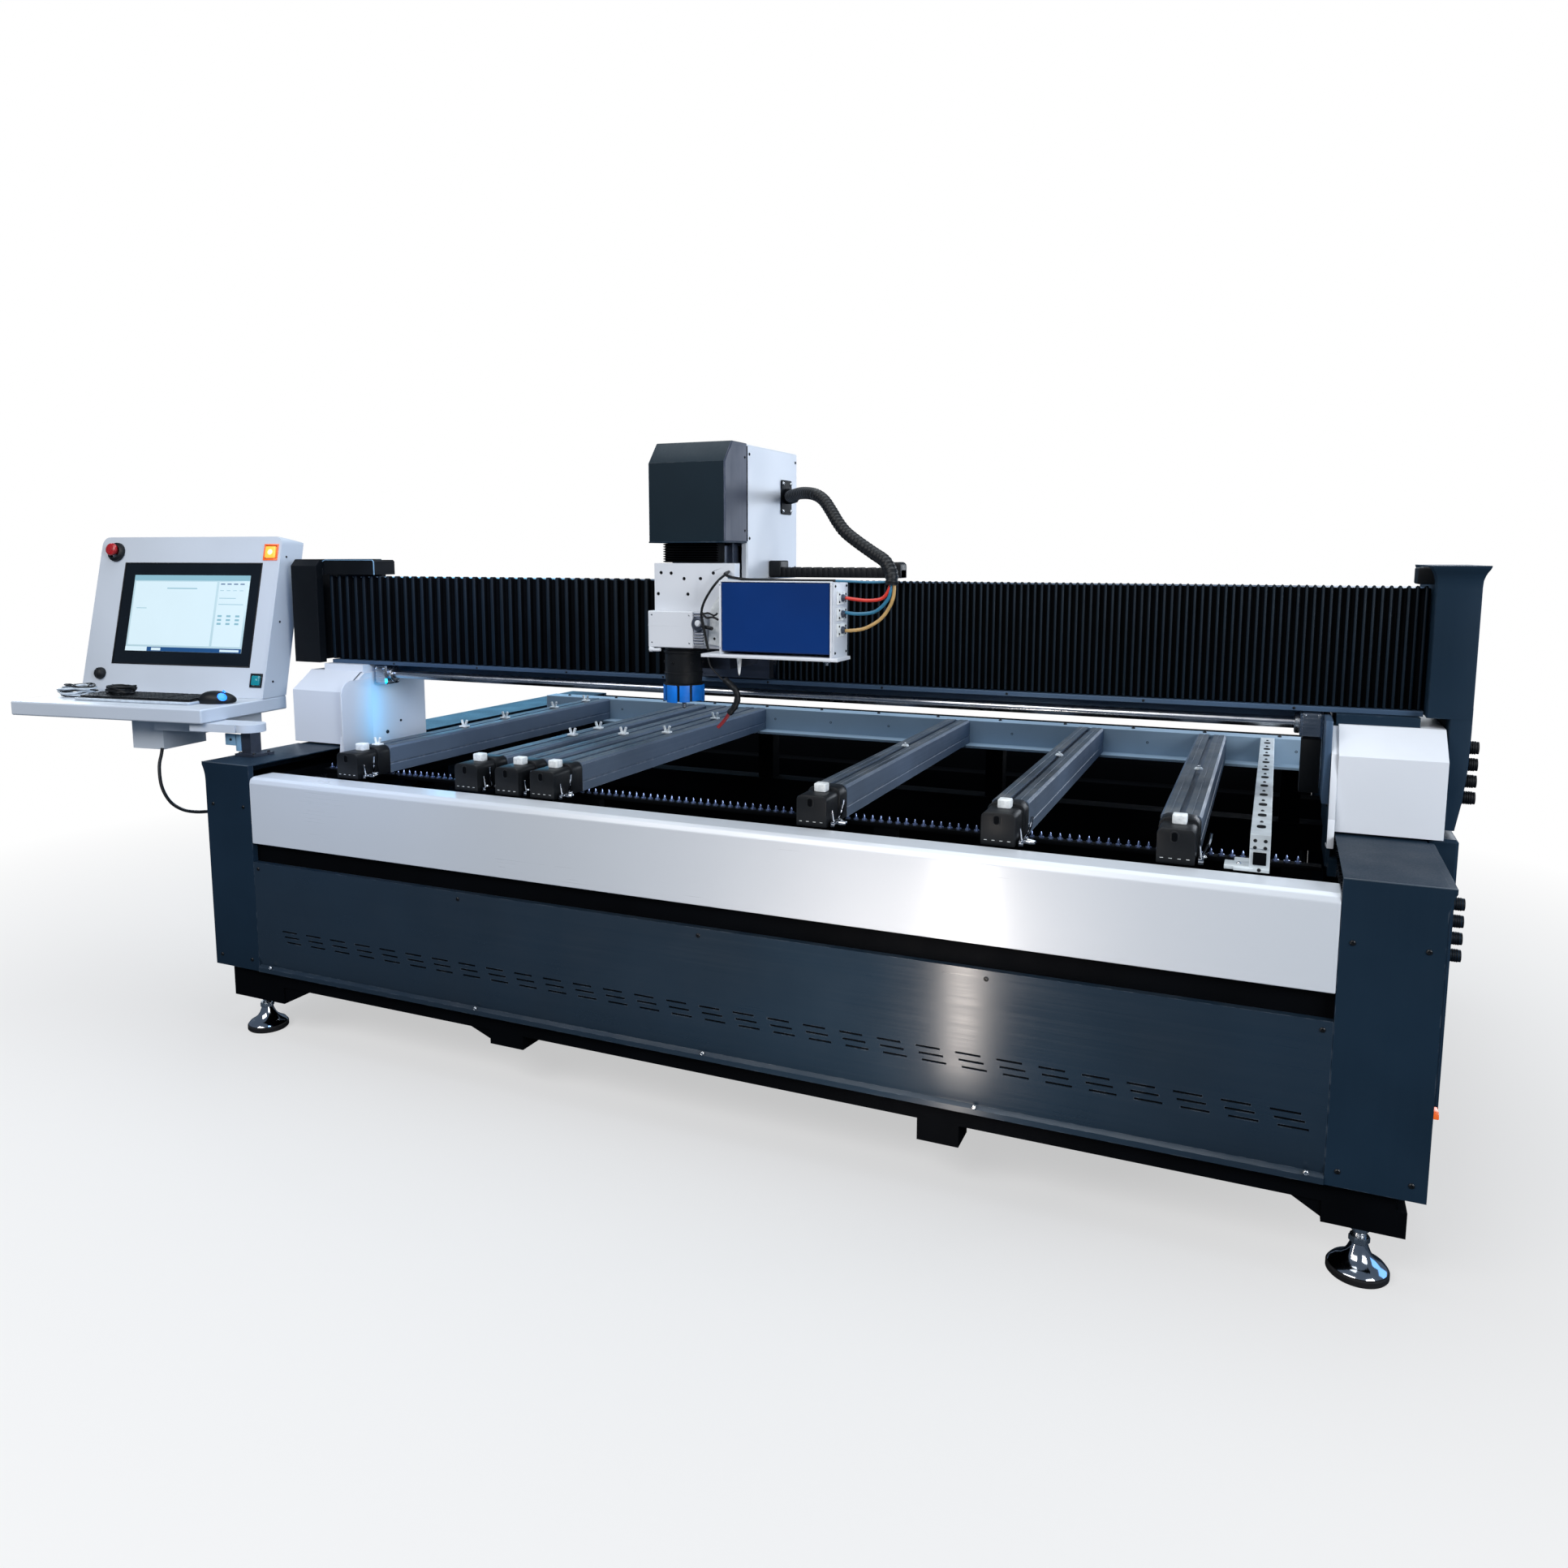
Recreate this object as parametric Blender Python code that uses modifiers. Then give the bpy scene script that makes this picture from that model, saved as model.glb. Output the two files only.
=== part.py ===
"""Bridge-type CNC router with a long open bed and a swivelling operator console.

Machine coordinates used below: X runs along the bed from the outer face of the
left casing, Y runs from the front face towards the rear, Z is up from the floor.
The root empty shifts them so the object's origin is at the bottom centre.
"""

import math

import bmesh
import bpy
from mathutils import Matrix, Vector

NAME = "cnc_router"

# overall sizes, metres
BASE_L = 3.30
BASE_D = 2.00
ORIGIN_X = 1.2468
ORIGIN_Y = 0.9842
GAP = 0.0005
SHEET = 0.003

# side casings and front panels
CASING_W = 0.1825
CASING_BOTTOM = 0.212
CASING_TOP = 0.850
CASING_LIP = 0.012
FASCIA_Z = (0.613, 0.8155)
LOWER_PANEL_Z = (0.2125, 0.5555)
PANEL_FOLD_Z = 0.262
VENT_GROUPS = 30
VENT_FIRST_X = 0.315
VENT_LAST_X = 3.040
VENT_Z = 0.350
VENT_DROP = 0.016
VENT_SHIFT = 0.008
VENT_LENGTH = 0.058
VENT_HEIGHT = 0.005

# welded frame
TUBE = 0.08
FRAME_Z = 0.165
FRAME_FRONT = 0.020
FRAME_SIDE = 0.05
SIDE_BEAM_Z = (0.690, 0.800)
SIDE_BEAM_W = 0.110

# bed
RACK_Y = 0.270
RACK_W = 0.030
RACK_BOTTOM = 0.790
RACK_TOP = 0.800
RACK_TOOTH = 0.0165
RACK_PITCH = 0.0225
RAIL_Y = 1.494
RAIL_W = 0.070
RAIL_LEDGE = 0.055
RAIL_Z = (0.807, 0.897)
BED_X0 = 0.210
BED_X1 = 3.090
BAR_W = 0.088
BAR_TOP = 0.898
BAR_BOTTOM = 0.817
BAR_Y = (0.100, RAIL_Y - GAP)
BAR_X = (0.474, 0.911, 1.050, 1.167, 1.957, 2.415, 2.799)
SLOT_W = 0.014
SLOT_DEPTH = 0.010
SLOT_INNER = 0.026
SCALE_BAR_X = 2.965
SCALE_BAR_W = 0.040
SCALE_BAR_Y = 0.100
SCALE_BAR_Z = (0.868, 0.898)
SCALE_HOLES = 11

# levelling feet
FOOT_X = (0.128, 3.194)
FOOT_Y = (0.069, BASE_D - 0.069)
FOOT_R = 0.060
STUD_R = 0.013

# gantry
BEAM_X = (0.030, 3.2890)
BEAM_Y = (0.560, 0.760)
BEAM_Z = (1.112, 1.400)
BEAM_WALL = 0.008
BELLOWS_Y = 0.516
BELLOWS_Z = (1.1255, 1.405)
PLEAT_PITCH = 0.030
PLEAT_DEPTH = 0.011
PLEAT_SKIN = 0.0025
LEG_Y = (0.480, 0.730)
BLADE_X = 0.186
BLADE_T = 0.012
COVER_Y = (0.385, 0.775)
COVER_Z = (0.856, 1.090)
SHAFT_Y = 0.545
SHAFT_Z = 1.079
SHAFT_R = 0.014
BEARING_X = (0.235, 3.060)

# carriage and vertical slide
HEAD_X = (1.454, 1.677)
HEAD_Y = (0.200, 0.334, 0.676)
HEAD_Z = (1.508, 1.713, 1.767)
SPINDLE_X = 1.536
SPINDLE_Y = 0.235
SPINDLE_R = 0.050
NOSE_Z = 1.139
SKIRT_R = 0.055
SKIRT_Z = 1.090
DRIVER_X = (1.7095, 1.9990)
DRIVER_Y = (0.1105, 0.2070)
DRIVER_Z = (1.2385, 1.4100)

# operator console, in its own axes: x across, y to the back, z up
POST_X = 0.032
POST_Y = 0.150
CONSOLE_X = -0.4685
CONSOLE_Y = 0.0190
CONSOLE_Z = 0.950
CONSOLE_YAW = math.radians(7.64)
SHELF_W = 0.770
SHELF_D = 0.393
SHELF_T = 0.046
HOUSING_W = 0.768
HOUSING_FRONT = ((0.277, 0.050), (0.419, 0.589))
HOUSING_REAR = ((0.393, 0.050), (0.523, 0.568))
HOUSING_CORNER = 0.030
BEZEL_SIZE = (0.584, 0.364)
BEZEL_AT = (0.024, 0.004)

# finishes: colour, roughness, metallic
FINISHES = {
    "slate": ((0.030, 0.042, 0.060, 1.0), 0.42, 0.45),
    "light": ((0.640, 0.660, 0.690, 1.0), 0.40, 0.10),
    "black": ((0.010, 0.010, 0.012, 1.0), 0.55, 0.00),
    "rubber": ((0.012, 0.012, 0.013, 1.0), 0.80, 0.00),
    "cloth": ((0.008, 0.009, 0.014, 1.0), 0.85, 0.00),
    "bar_grey": ((0.130, 0.145, 0.165, 1.0), 0.38, 0.60),
    "steel": ((0.520, 0.530, 0.550, 1.0), 0.25, 1.00),
    "blue": ((0.006, 0.022, 0.150, 1.0), 0.40, 0.10),
    "skirt_blue": ((0.010, 0.120, 0.560, 1.0), 0.50, 0.00),
    "glass": ((0.620, 0.760, 0.820, 1.0), 0.12, 0.00),
    "red": ((0.520, 0.010, 0.012, 1.0), 0.30, 0.00),
    "orange": ((0.900, 0.230, 0.020, 1.0), 0.30, 0.00),
    "teal": ((0.010, 0.200, 0.210, 1.0), 0.30, 0.00),
}

for old in list(bpy.data.objects):
    bpy.data.objects.remove(old, do_unlink=True)

PARTS = bpy.data.collections.new(NAME)
TOOLS = bpy.data.collections.new("cutters")
bpy.context.scene.collection.children.link(PARTS)
bpy.context.scene.collection.children.link(TOOLS)
SPOT = {}


def finish(name, key):
    colour, roughness, metallic = FINISHES[key]
    mat = bpy.data.materials.new(name + "_finish")
    mat.use_nodes = True
    shader = mat.node_tree.nodes["Principled BSDF"]
    shader.inputs["Base Color"].default_value = colour
    shader.inputs["Roughness"].default_value = roughness
    shader.inputs["Metallic"].default_value = metallic
    mat.diffuse_color = colour
    return mat


def empty(name, spot, parent=None, yaw=0.0):
    holder = bpy.data.objects.new(name, None)
    holder.empty_display_size = 0.1
    PARTS.objects.link(holder)
    spot = Vector(spot)
    holder.location = spot if parent is None else spot - SPOT[parent.name]
    holder.parent = parent
    holder.rotation_euler = (0.0, 0.0, yaw)
    SPOT[name] = spot
    return holder


def settle(name, mesh, spot, parent, key):
    """Put a mesh, drawn about spot, into the part collection."""
    obj = bpy.data.objects.new(name, mesh)
    if key is None:
        TOOLS.objects.link(obj)
        obj.hide_render = True
        obj.display_type = "WIRE"
    else:
        PARTS.objects.link(obj)
        mesh.materials.clear()
        mesh.materials.append(finish(name, key))
    obj.parent = parent
    obj.location = Vector(spot) - SPOT[parent.name]
    return obj


def add_box(bm, low, high, spot):
    low, high, spot = Vector(low), Vector(high), Vector(spot)
    middle = (low + high) / 2 - spot
    size = high - low
    place = Matrix.Translation(middle) @ Matrix.Diagonal((size.x, size.y, size.z, 1.0))
    bmesh.ops.create_cube(bm, size=1.0, matrix=place)


def boxes(name, spans, parent, key, spot=None):
    """One mesh that holds a box for each (low, high) pair."""
    if spot is None:
        spot = (Vector(spans[0][0]) + Vector(spans[0][1])) / 2
    bm = bmesh.new()
    for low, high in spans:
        add_box(bm, low, high, spot)
    mesh = bpy.data.meshes.new(name)
    bm.to_mesh(mesh)
    bm.free()
    return settle(name, mesh, spot, parent, key)


def soften(obj, width, segments=2, angle=40.0):
    bevel = obj.modifiers.new("edges", "BEVEL")
    bevel.width = width
    bevel.segments = segments
    bevel.limit_method = "ANGLE"
    bevel.angle_limit = math.radians(angle)
    return obj


def combine(obj, other, how="UNION", overlapping=False):
    step = obj.modifiers.new(how.lower(), "BOOLEAN")
    step.operation = how
    step.solver = "EXACT"
    step.object = other
    step.use_self = overlapping
    return obj


def welded(name, spans, parent, key):
    """A body made of overlapping boxes, united into one closed shell."""
    body = boxes(name, spans[:1], parent, key)
    if len(spans) > 1:
        rest = boxes(name + "_rest", spans[1:], parent, None)
        combine(body, rest, "UNION", True)
    return body


AXIS_FRAMES = {
    "X": Matrix(((0, 0, 1), (1, 0, 0), (0, 1, 0))),
    "Y": Matrix(((1, 0, 0), (0, 0, -1), (0, 1, 0))),
    "Z": Matrix(((1, 0, 0), (0, 1, 0), (0, 0, 1))),
}


def outline(name, points, axis, start, stop, parent, key):
    """A flat outline drawn across an axis and drawn out from start to stop."""
    curve = bpy.data.curves.new(name, "CURVE")
    curve.dimensions = "2D"
    curve.fill_mode = "BOTH"
    curve.extrude = (stop - start) / 2
    spline = curve.splines.new("POLY")
    spline.points.add(len(points) - 1)
    for point, (a, b) in zip(spline.points, points):
        point.co = (a, b, 0.0, 1.0)
    spline.use_cyclic_u = True
    draft = bpy.data.objects.new(name + "_draft", curve)
    TOOLS.objects.link(draft)
    bpy.context.view_layer.update()
    ready = draft.evaluated_get(bpy.context.evaluated_depsgraph_get())
    mesh = bpy.data.meshes.new_from_object(ready)
    bpy.data.objects.remove(draft, do_unlink=True)
    mesh.name = name
    shift = Vector({"X": (1, 0, 0), "Y": (0, 1, 0), "Z": (0, 0, 1)}[axis]) * (start + stop) / 2
    mesh.transform(Matrix.Translation(shift) @ AXIS_FRAMES[axis].to_4x4())
    bm = bmesh.new()
    bm.from_mesh(mesh)
    bmesh.ops.remove_doubles(bm, verts=bm.verts, dist=0.00001)
    bmesh.ops.recalc_face_normals(bm, faces=bm.faces)
    low = Vector((min(v.co[i] for v in bm.verts) for i in range(3)))
    high = Vector((max(v.co[i] for v in bm.verts) for i in range(3)))
    spot = (low + high) / 2
    bmesh.ops.translate(bm, verts=bm.verts, vec=-spot)
    bm.to_mesh(mesh)
    bm.free()
    return settle(name, mesh, spot, parent, key)


def round_bar(name, centre, axis, radius, length, parent, key, sides=32, tip=None):
    """A cylinder, or a cone when tip is given, centred on a point."""
    turn = {
        "X": Matrix.Rotation(math.pi / 2, 4, "Y"),
        "Y": Matrix.Rotation(-math.pi / 2, 4, "X"),
        "Z": Matrix.Identity(4),
    }[axis]
    bm = bmesh.new()
    bmesh.ops.create_cone(
        bm,
        cap_ends=True,
        segments=sides,
        radius1=radius,
        radius2=radius if tip is None else tip,
        depth=length,
        matrix=turn,
    )
    mesh = bpy.data.meshes.new(name)
    bm.to_mesh(mesh)
    bm.free()
    mesh.shade_smooth()
    mesh.set_sharp_from_angle(angle=math.radians(35))
    return settle(name, mesh, centre, parent, key)


def turned(name, profile, centre, parent, key, sides=32):
    """A turned piece: (radius, height) points down its outer side, on a vertical axis."""
    bm = bmesh.new()
    ring = [bm.verts.new((radius, 0.0, height)) for radius, height in profile]
    for first, second in zip(ring, ring[1:]):
        bm.edges.new((first, second))
    mesh = bpy.data.meshes.new(name)
    bm.to_mesh(mesh)
    bm.free()
    obj = settle(name, mesh, centre, parent, key)
    screw = obj.modifiers.new("turn", "SCREW")
    screw.steps = sides
    screw.render_steps = sides
    screw.use_merge_vertices = True
    screw.merge_threshold = 0.00005
    screw.use_smooth_shade = False
    return obj


def sheet(path, thickness=SHEET):
    """Close an open (a, b) path into the outline of a bent sheet lying to its right."""
    inner = []
    for i, here in enumerate(path):
        sides = []
        if i > 0:
            sides.append((here[0] - path[i - 1][0], here[1] - path[i - 1][1]))
        if i < len(path) - 1:
            sides.append((path[i + 1][0] - here[0], path[i + 1][1] - here[1]))
        normals = [Vector((b, -a)).normalized() for a, b in sides]
        mean = sum(normals, Vector((0.0, 0.0))).normalized()
        reach = thickness / max(mean.dot(normals[0]), 0.3)
        inner.append((here[0] + mean.x * reach, here[1] + mean.y * reach))
    return list(path) + inner[::-1]


def mirrored(low, high):
    """The span opposite (low, high) about the middle of the bed's length."""
    return (BASE_L - high, BASE_L - low)


# ---------------------------------------------------------------- holders
root = empty("machine", (0.0, 0.0, 0.0))
root.location = (-ORIGIN_X, -ORIGIN_Y, 0.0)
gantry = empty("gantry_slide", (BASE_L / 2, 0.660, 1.256), root)
carriage = empty("carriage_slide", (SPINDLE_X, 0.480, 1.256), gantry)
spindle = empty("spindle_slide", (SPINDLE_X, SPINDLE_Y, 1.256), carriage)
chuck = empty("spindle_axis", (SPINDLE_X, SPINDLE_Y, 1.150), spindle)
shaft = empty("sync_shaft_axis", (BASE_L / 2, SHAFT_Y, SHAFT_Z), gantry)
swivel = empty("console_axis", (POST_X, POST_Y, 0.950), root)
desk = empty("console_frame", (CONSOLE_X, CONSOLE_Y, CONSOLE_Z), swivel, CONSOLE_YAW)
SPOT["console_frame"] = Vector((0.0, 0.0, 0.0))

# ---------------------------------------------------------------- base frame
x0, x1 = FRAME_SIDE, BASE_L - FRAME_SIDE
y0, y1 = FRAME_FRONT, BASE_D - FRAME_FRONT
tubes = []
for y in (y0, y1 - TUBE):
    tubes.append(((x0, y, FRAME_Z), (x1, y + TUBE, FRAME_Z + TUBE)))
for x in (x0, 1.045, 2.270, x1 - TUBE):
    tubes.append(((x, y0 + 0.01, FRAME_Z), (x + TUBE, y1 - 0.01, FRAME_Z + TUBE)))
for x in (x0, x1 - TUBE):
    for y in (y0, 0.880, y1 - TUBE):
        tubes.append(((x, y, FRAME_Z + 0.01), (x + TUBE, y + TUBE, SIDE_BEAM_Z[1] - 0.01)))
for low in (0.040, BASE_L - 0.040 - SIDE_BEAM_W):
    tubes.append(((low, y0, SIDE_BEAM_Z[0]), (low + SIDE_BEAM_W, y1, SIDE_BEAM_Z[1])))
for y in (y0, RAIL_Y - 0.009, y1 - TUBE):
    tubes.append(((x0, y, 0.545), (x1, y + TUBE, 0.630)))
tubes.append(((x0, RACK_Y - 0.025, 0.550), (x1, RACK_Y + 0.055, 0.625)))
for x in (0.220, 1.180, 2.060, 3.010):
    tubes.append(((x, RACK_Y + 0.002, 0.600), (x + 0.060, RACK_Y + 0.028, RACK_BOTTOM - GAP)))
    tubes.append(((x, RAIL_Y + 0.001, 0.600), (x + 0.060, RAIL_Y + 0.061, RAIL_Z[0] - GAP)))
for x in (x0, x1 - TUBE):
    tubes.append(((x + 0.005, y0 + 0.005, 0.600), (x + TUBE - 0.005, RAIL_Y + 0.010, 0.625)))
for low, high, bottom in ((0.050, 0.256, 0.112), (3.117, 3.271, 0.120)):
    for y in (FRAME_FRONT, BASE_D - FRAME_FRONT - 0.100):
        tubes.append(((low, y, bottom), (high, y + 0.100, FRAME_Z + 0.01)))
for low, high, bottom in ((1.030, 1.140, 0.126), (2.260, 2.360, 0.112)):
    for y in (FRAME_FRONT, BASE_D - FRAME_FRONT - 0.080):
        tubes.append(((low, y, bottom), (high, y + 0.080, FRAME_Z + 0.01)))
frame = welded("base_frame", tubes, root, "black")
gussets = (
    ((0.250, 0.115), (0.384, FRAME_Z + 0.01), (0.250, FRAME_Z + 0.01)),
    ((1.035, 0.135), (1.035, FRAME_Z + 0.01), (0.930, FRAME_Z + 0.01)),
    ((3.125, 0.124), (3.125, FRAME_Z + 0.01), (3.040, FRAME_Z + 0.01)),
)
for number, corner in enumerate(gussets):
    gusset = outline(f"gusset_{number}", corner, "Y", 0.024, 0.096, root, None)
    combine(frame, gusset)
for number, x in enumerate(FOOT_X):
    for y in FOOT_Y:
        hole = round_bar(f"stud_hole_{number}_{y:.2f}", (x, y, 0.150), "Z", STUD_R + 0.0006, 0.2, root, None,
                         24)
        combine(frame, hole, "DIFFERENCE")

# ---------------------------------------------------------------- sheet metal
fascia_path = (
    (0.0180, FASCIA_Z[0]),
    (0.0, FASCIA_Z[0]),
    (0.0, FASCIA_Z[1] - 0.0175),
    (0.0050, FASCIA_Z[1] - 0.0055),
    (0.0160, FASCIA_Z[1]),
    (0.0900, FASCIA_Z[1]),
)
outline("front_fascia", sheet(fascia_path), "X", CASING_W + GAP, BASE_L - CASING_W - GAP, root, "light")

lower_path = (
    (0.0180, LOWER_PANEL_Z[0]),
    (-0.0040, LOWER_PANEL_Z[0]),
    (-0.0040, 0.2260),
    (0.0060, 0.2330),
    (0.0, PANEL_FOLD_Z),
    (0.0, LOWER_PANEL_Z[1]),
    (0.0180, LOWER_PANEL_Z[1]),
)
lower = outline("front_lower_panel", sheet(lower_path), "X", CASING_W + GAP, BASE_L - CASING_W - GAP, root,
                "slate")
slots = []
vent_step = (VENT_LAST_X - VENT_FIRST_X) / (VENT_GROUPS - 1)
for group in range(VENT_GROUPS):
    for row in range(3):
        x = VENT_FIRST_X + group * vent_step + row * VENT_SHIFT
        z = VENT_Z - row * VENT_DROP
        slots.append(((x - VENT_LENGTH / 2, -0.010, z), (x + VENT_LENGTH / 2, 0.010, z + VENT_HEIGHT)))
combine(lower, boxes("vent_cutter", slots, root, None), "DIFFERENCE")


def side_casing(name, flip):
    """Folded side casing, open below and towards the bed."""

    def span(low, high):
        return mirrored(low, high) if flip else (low, high)

    def block(xs, ys, zs):
        a, b = span(*xs)
        return ((a, ys[0], zs[0]), (b, ys[1], zs[1]))

    body = boxes(name, [block((0.0003, CASING_W), (0.0, BASE_D), (CASING_BOTTOM, CASING_TOP))], root, "slate")
    lip = block((-CASING_LIP, 0.010), (0.0, 0.380), (CASING_TOP - 0.010, CASING_TOP - 0.0002))
    combine(body, boxes(name + "_lip", [lip], root, None))
    room = [
        block((SHEET, CASING_W - SHEET), (SHEET, BASE_D - SHEET), (0.150, CASING_TOP - SHEET)),
        block((0.100, CASING_W + 0.010), (0.0185, BASE_D - 0.0185), (0.150, CASING_TOP - SHEET)),
    ]
    combine(body, boxes(name + "_room", room, root, None), "DIFFERENCE", True)
    return body


side_casing("side_casing_left", False)
side_casing("side_casing_right", True)

rear_path = (
    (BASE_D - 0.0180, CASING_TOP - 0.010),
    (BASE_D, CASING_TOP - 0.010),
    (BASE_D, CASING_BOTTOM),
    (BASE_D - 0.0180, CASING_BOTTOM),
)
outline("rear_panel", sheet(rear_path), "X", CASING_W + GAP, BASE_L - CASING_W - GAP, root, "slate")

cabinet = boxes("side_cabinet_right", [((BASE_L + GAP, 0.420, 0.212), (3.365, 1.940, 0.852))], root, "slate")
soften(cabinet, 0.006, 1)
for number in range(4):
    gland = round_bar(f"cabinet_gland_{number}", (3.372, 0.475, 0.575 + number * 0.040), "X", 0.014, 0.040,
                      root, None, 16)
    combine(cabinet, gland)

tray = boxes("bed_tray", [((BED_X0, 0.110, 0.330), (BED_X1, 1.890, 0.542))], root, "black")
tray_room = [((BED_X0 + SHEET, 0.110 + SHEET, 0.330 + SHEET), (BED_X1 - SHEET, 1.890 - SHEET, 0.600))]
combine(tray, boxes("tray_room", tray_room, root, None), "DIFFERENCE")

# ---------------------------------------------------------------- bed supports
teeth = []
count = int((BED_X1 - BED_X0 - 0.04) / RACK_PITCH)
for number in range(count):
    x = BED_X0 + 0.02 + number * RACK_PITCH
    teeth.append((x, RACK_TOP))
    teeth.append((x + RACK_PITCH * 0.25, RACK_TOP + RACK_TOOTH))
    teeth.append((x + RACK_PITCH * 0.50, RACK_TOP + RACK_TOOTH))
    teeth.append((x + RACK_PITCH * 0.75, RACK_TOP))
rack_points = [(BED_X0, RACK_BOTTOM), (BED_X0, RACK_TOP)] + teeth + [(BED_X1, RACK_TOP), (BED_X1, RACK_BOTTOM)]
outline("front_rack", rack_points, "Y", RACK_Y, RACK_Y + RACK_W, root, "steel")

rail_points = (
    (RAIL_Y - RAIL_LEDGE, RAIL_Z[0]),
    (RAIL_Y - RAIL_LEDGE, BAR_BOTTOM - GAP),
    (RAIL_Y, BAR_BOTTOM - GAP),
    (RAIL_Y, RAIL_Z[1]),
    (RAIL_Y + RAIL_W, RAIL_Z[1]),
    (RAIL_Y + RAIL_W, RAIL_Z[0]),
)
outline("rear_rail", rail_points, "X", BED_X0, BED_X1, root, "bar_grey")

half = BAR_W / 2
bar_points = (
    (-half, BAR_BOTTOM),
    (-half, BAR_TOP - 0.010),
    (-half + 0.010, BAR_TOP),
    (-SLOT_W / 2, BAR_TOP),
    (-SLOT_W / 2, BAR_TOP - 0.005),
    (-SLOT_INNER / 2, BAR_TOP - 0.005),
    (-SLOT_INNER / 2, BAR_TOP - SLOT_DEPTH),
    (SLOT_INNER / 2, BAR_TOP - SLOT_DEPTH),
    (SLOT_INNER / 2, BAR_TOP - 0.005),
    (SLOT_W / 2, BAR_TOP - 0.005),
    (SLOT_W / 2, BAR_TOP),
    (half - 0.010, BAR_TOP),
    (half, BAR_TOP - 0.010),
    (half, BAR_BOTTOM),
)
for number, x in enumerate(BAR_X, 1):
    across = [(a + x, b) for a, b in bar_points]
    outline(f"support_bar_{number}", across, "Y", BAR_Y[0], BAR_Y[1], root, "bar_grey")

half = SCALE_BAR_W / 2
scale_bar = boxes("scale_bar", [((SCALE_BAR_X - half, SCALE_BAR_Y, SCALE_BAR_Z[0]),
                                 (SCALE_BAR_X + half, RAIL_Y - GAP, SCALE_BAR_Z[1]))], root, "steel")
foot_z = BAR_BOTTOM + 0.0002
scale_feet = [
    ((SCALE_BAR_X - half - 0.030, SCALE_BAR_Y, foot_z), (SCALE_BAR_X + half, 0.190, foot_z + 0.007)),
    ((SCALE_BAR_X - half, SCALE_BAR_Y + 0.004, foot_z + 0.002), (SCALE_BAR_X + half, 0.120, 0.873)),
    ((SCALE_BAR_X - half, RAIL_Y - 0.050, foot_z), (SCALE_BAR_X + half, RAIL_Y - 0.010, 0.873)),
]
combine(scale_bar, boxes("scale_bar_feet", scale_feet, root, None), "UNION", True)
for number in range(SCALE_HOLES):
    hole = round_bar(f"scale_hole_{number}", (SCALE_BAR_X, 0.180 + number * 0.120, 0.880), "Z", 0.010, 0.060,
                     root, None, 10)
    combine(scale_bar, hole, "DIFFERENCE")

for side in ("left", "right"):
    span = (0.1503, 0.1700)
    if side == "right":
        span = mirrored(*span)
    boxes(f"y_rail_{side}", [((span[0], 0.060, 0.740), (span[1], BASE_D - 0.060, 0.765))], root, "steel")

# ---------------------------------------------------------------- levelling feet
foot_profile = (
    (0.0, 0.2300),
    (STUD_R, 0.2300),
    (STUD_R, 0.1100),
    (0.020, 0.1090),
    (0.020, 0.0960),
    (STUD_R, 0.0950),
    (0.016, 0.0600),
    (0.030, 0.0420),
    (0.055, 0.0260),
    (FOOT_R, 0.0220),
    (FOOT_R, 0.0),
    (0.0, 0.0),
)
for x, side in zip(FOOT_X, ("left", "right")):
    for y, end in zip(FOOT_Y, ("front", "rear")):
        turned(f"foot_{end}_{side}", foot_profile, (x, y, 0.0), root, "steel", 24)

# ---------------------------------------------------------------- gantry
beam = welded("gantry_beam", [
    ((BEAM_X[0], BEAM_Y[0], BEAM_Z[0]), (BEAM_X[1], BEAM_Y[1], BEAM_Z[1])),
    ((BEAM_X[0] + 0.002, 0.506, BEAM_Z[0]), (BEAM_X[1] - 0.002, BEAM_Y[0] + 0.004, BEAM_Z[0] + 0.012)),
    ((0.2010, 0.6200, 1.0720), (3.0990, 0.7400, BEAM_Z[0] + 0.004)),
], gantry, "slate")
bore = [((BEAM_X[0] - 0.1, BEAM_Y[0] + BEAM_WALL, BEAM_Z[0] + 0.0125),
         (BEAM_X[1] + 0.1, BEAM_Y[1] - BEAM_WALL, BEAM_Z[1] - BEAM_WALL))]
combine(beam, boxes("beam_bore", bore, gantry, None), "DIFFERENCE")

for name, z in (("x_rail_upper", 1.345), ("x_rail_lower", 1.165)):
    boxes(name, [((0.060, 0.5405, z), (3.240, BEAM_Y[0] - GAP, z + 0.020))], gantry, "steel")


def pleats(start, stop, front, pitch, depth, skin):
    """Zigzag strip from start to stop, folded between front and front + depth."""
    folds = max(2, round((stop - start) / pitch))
    step = (stop - start) / (2 * folds)
    near = [(start + i * step, front + (depth if i % 2 == 0 else 0.0)) for i in range(2 * folds + 1)]
    far = [(a, b + skin) for a, b in near]
    return near + far[::-1]


for name, start, stop in (("bellows_left", 0.014, HEAD_X[0] - 0.001),
                          ("bellows_right", HEAD_X[1] + 0.001, BEAM_X[1] - 0.002)):
    folded = pleats(start, stop, BELLOWS_Y, PLEAT_PITCH, PLEAT_DEPTH, PLEAT_SKIN)
    outline(name, folded, "Z", BELLOWS_Z[0], BELLOWS_Z[1], gantry, "cloth")

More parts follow.
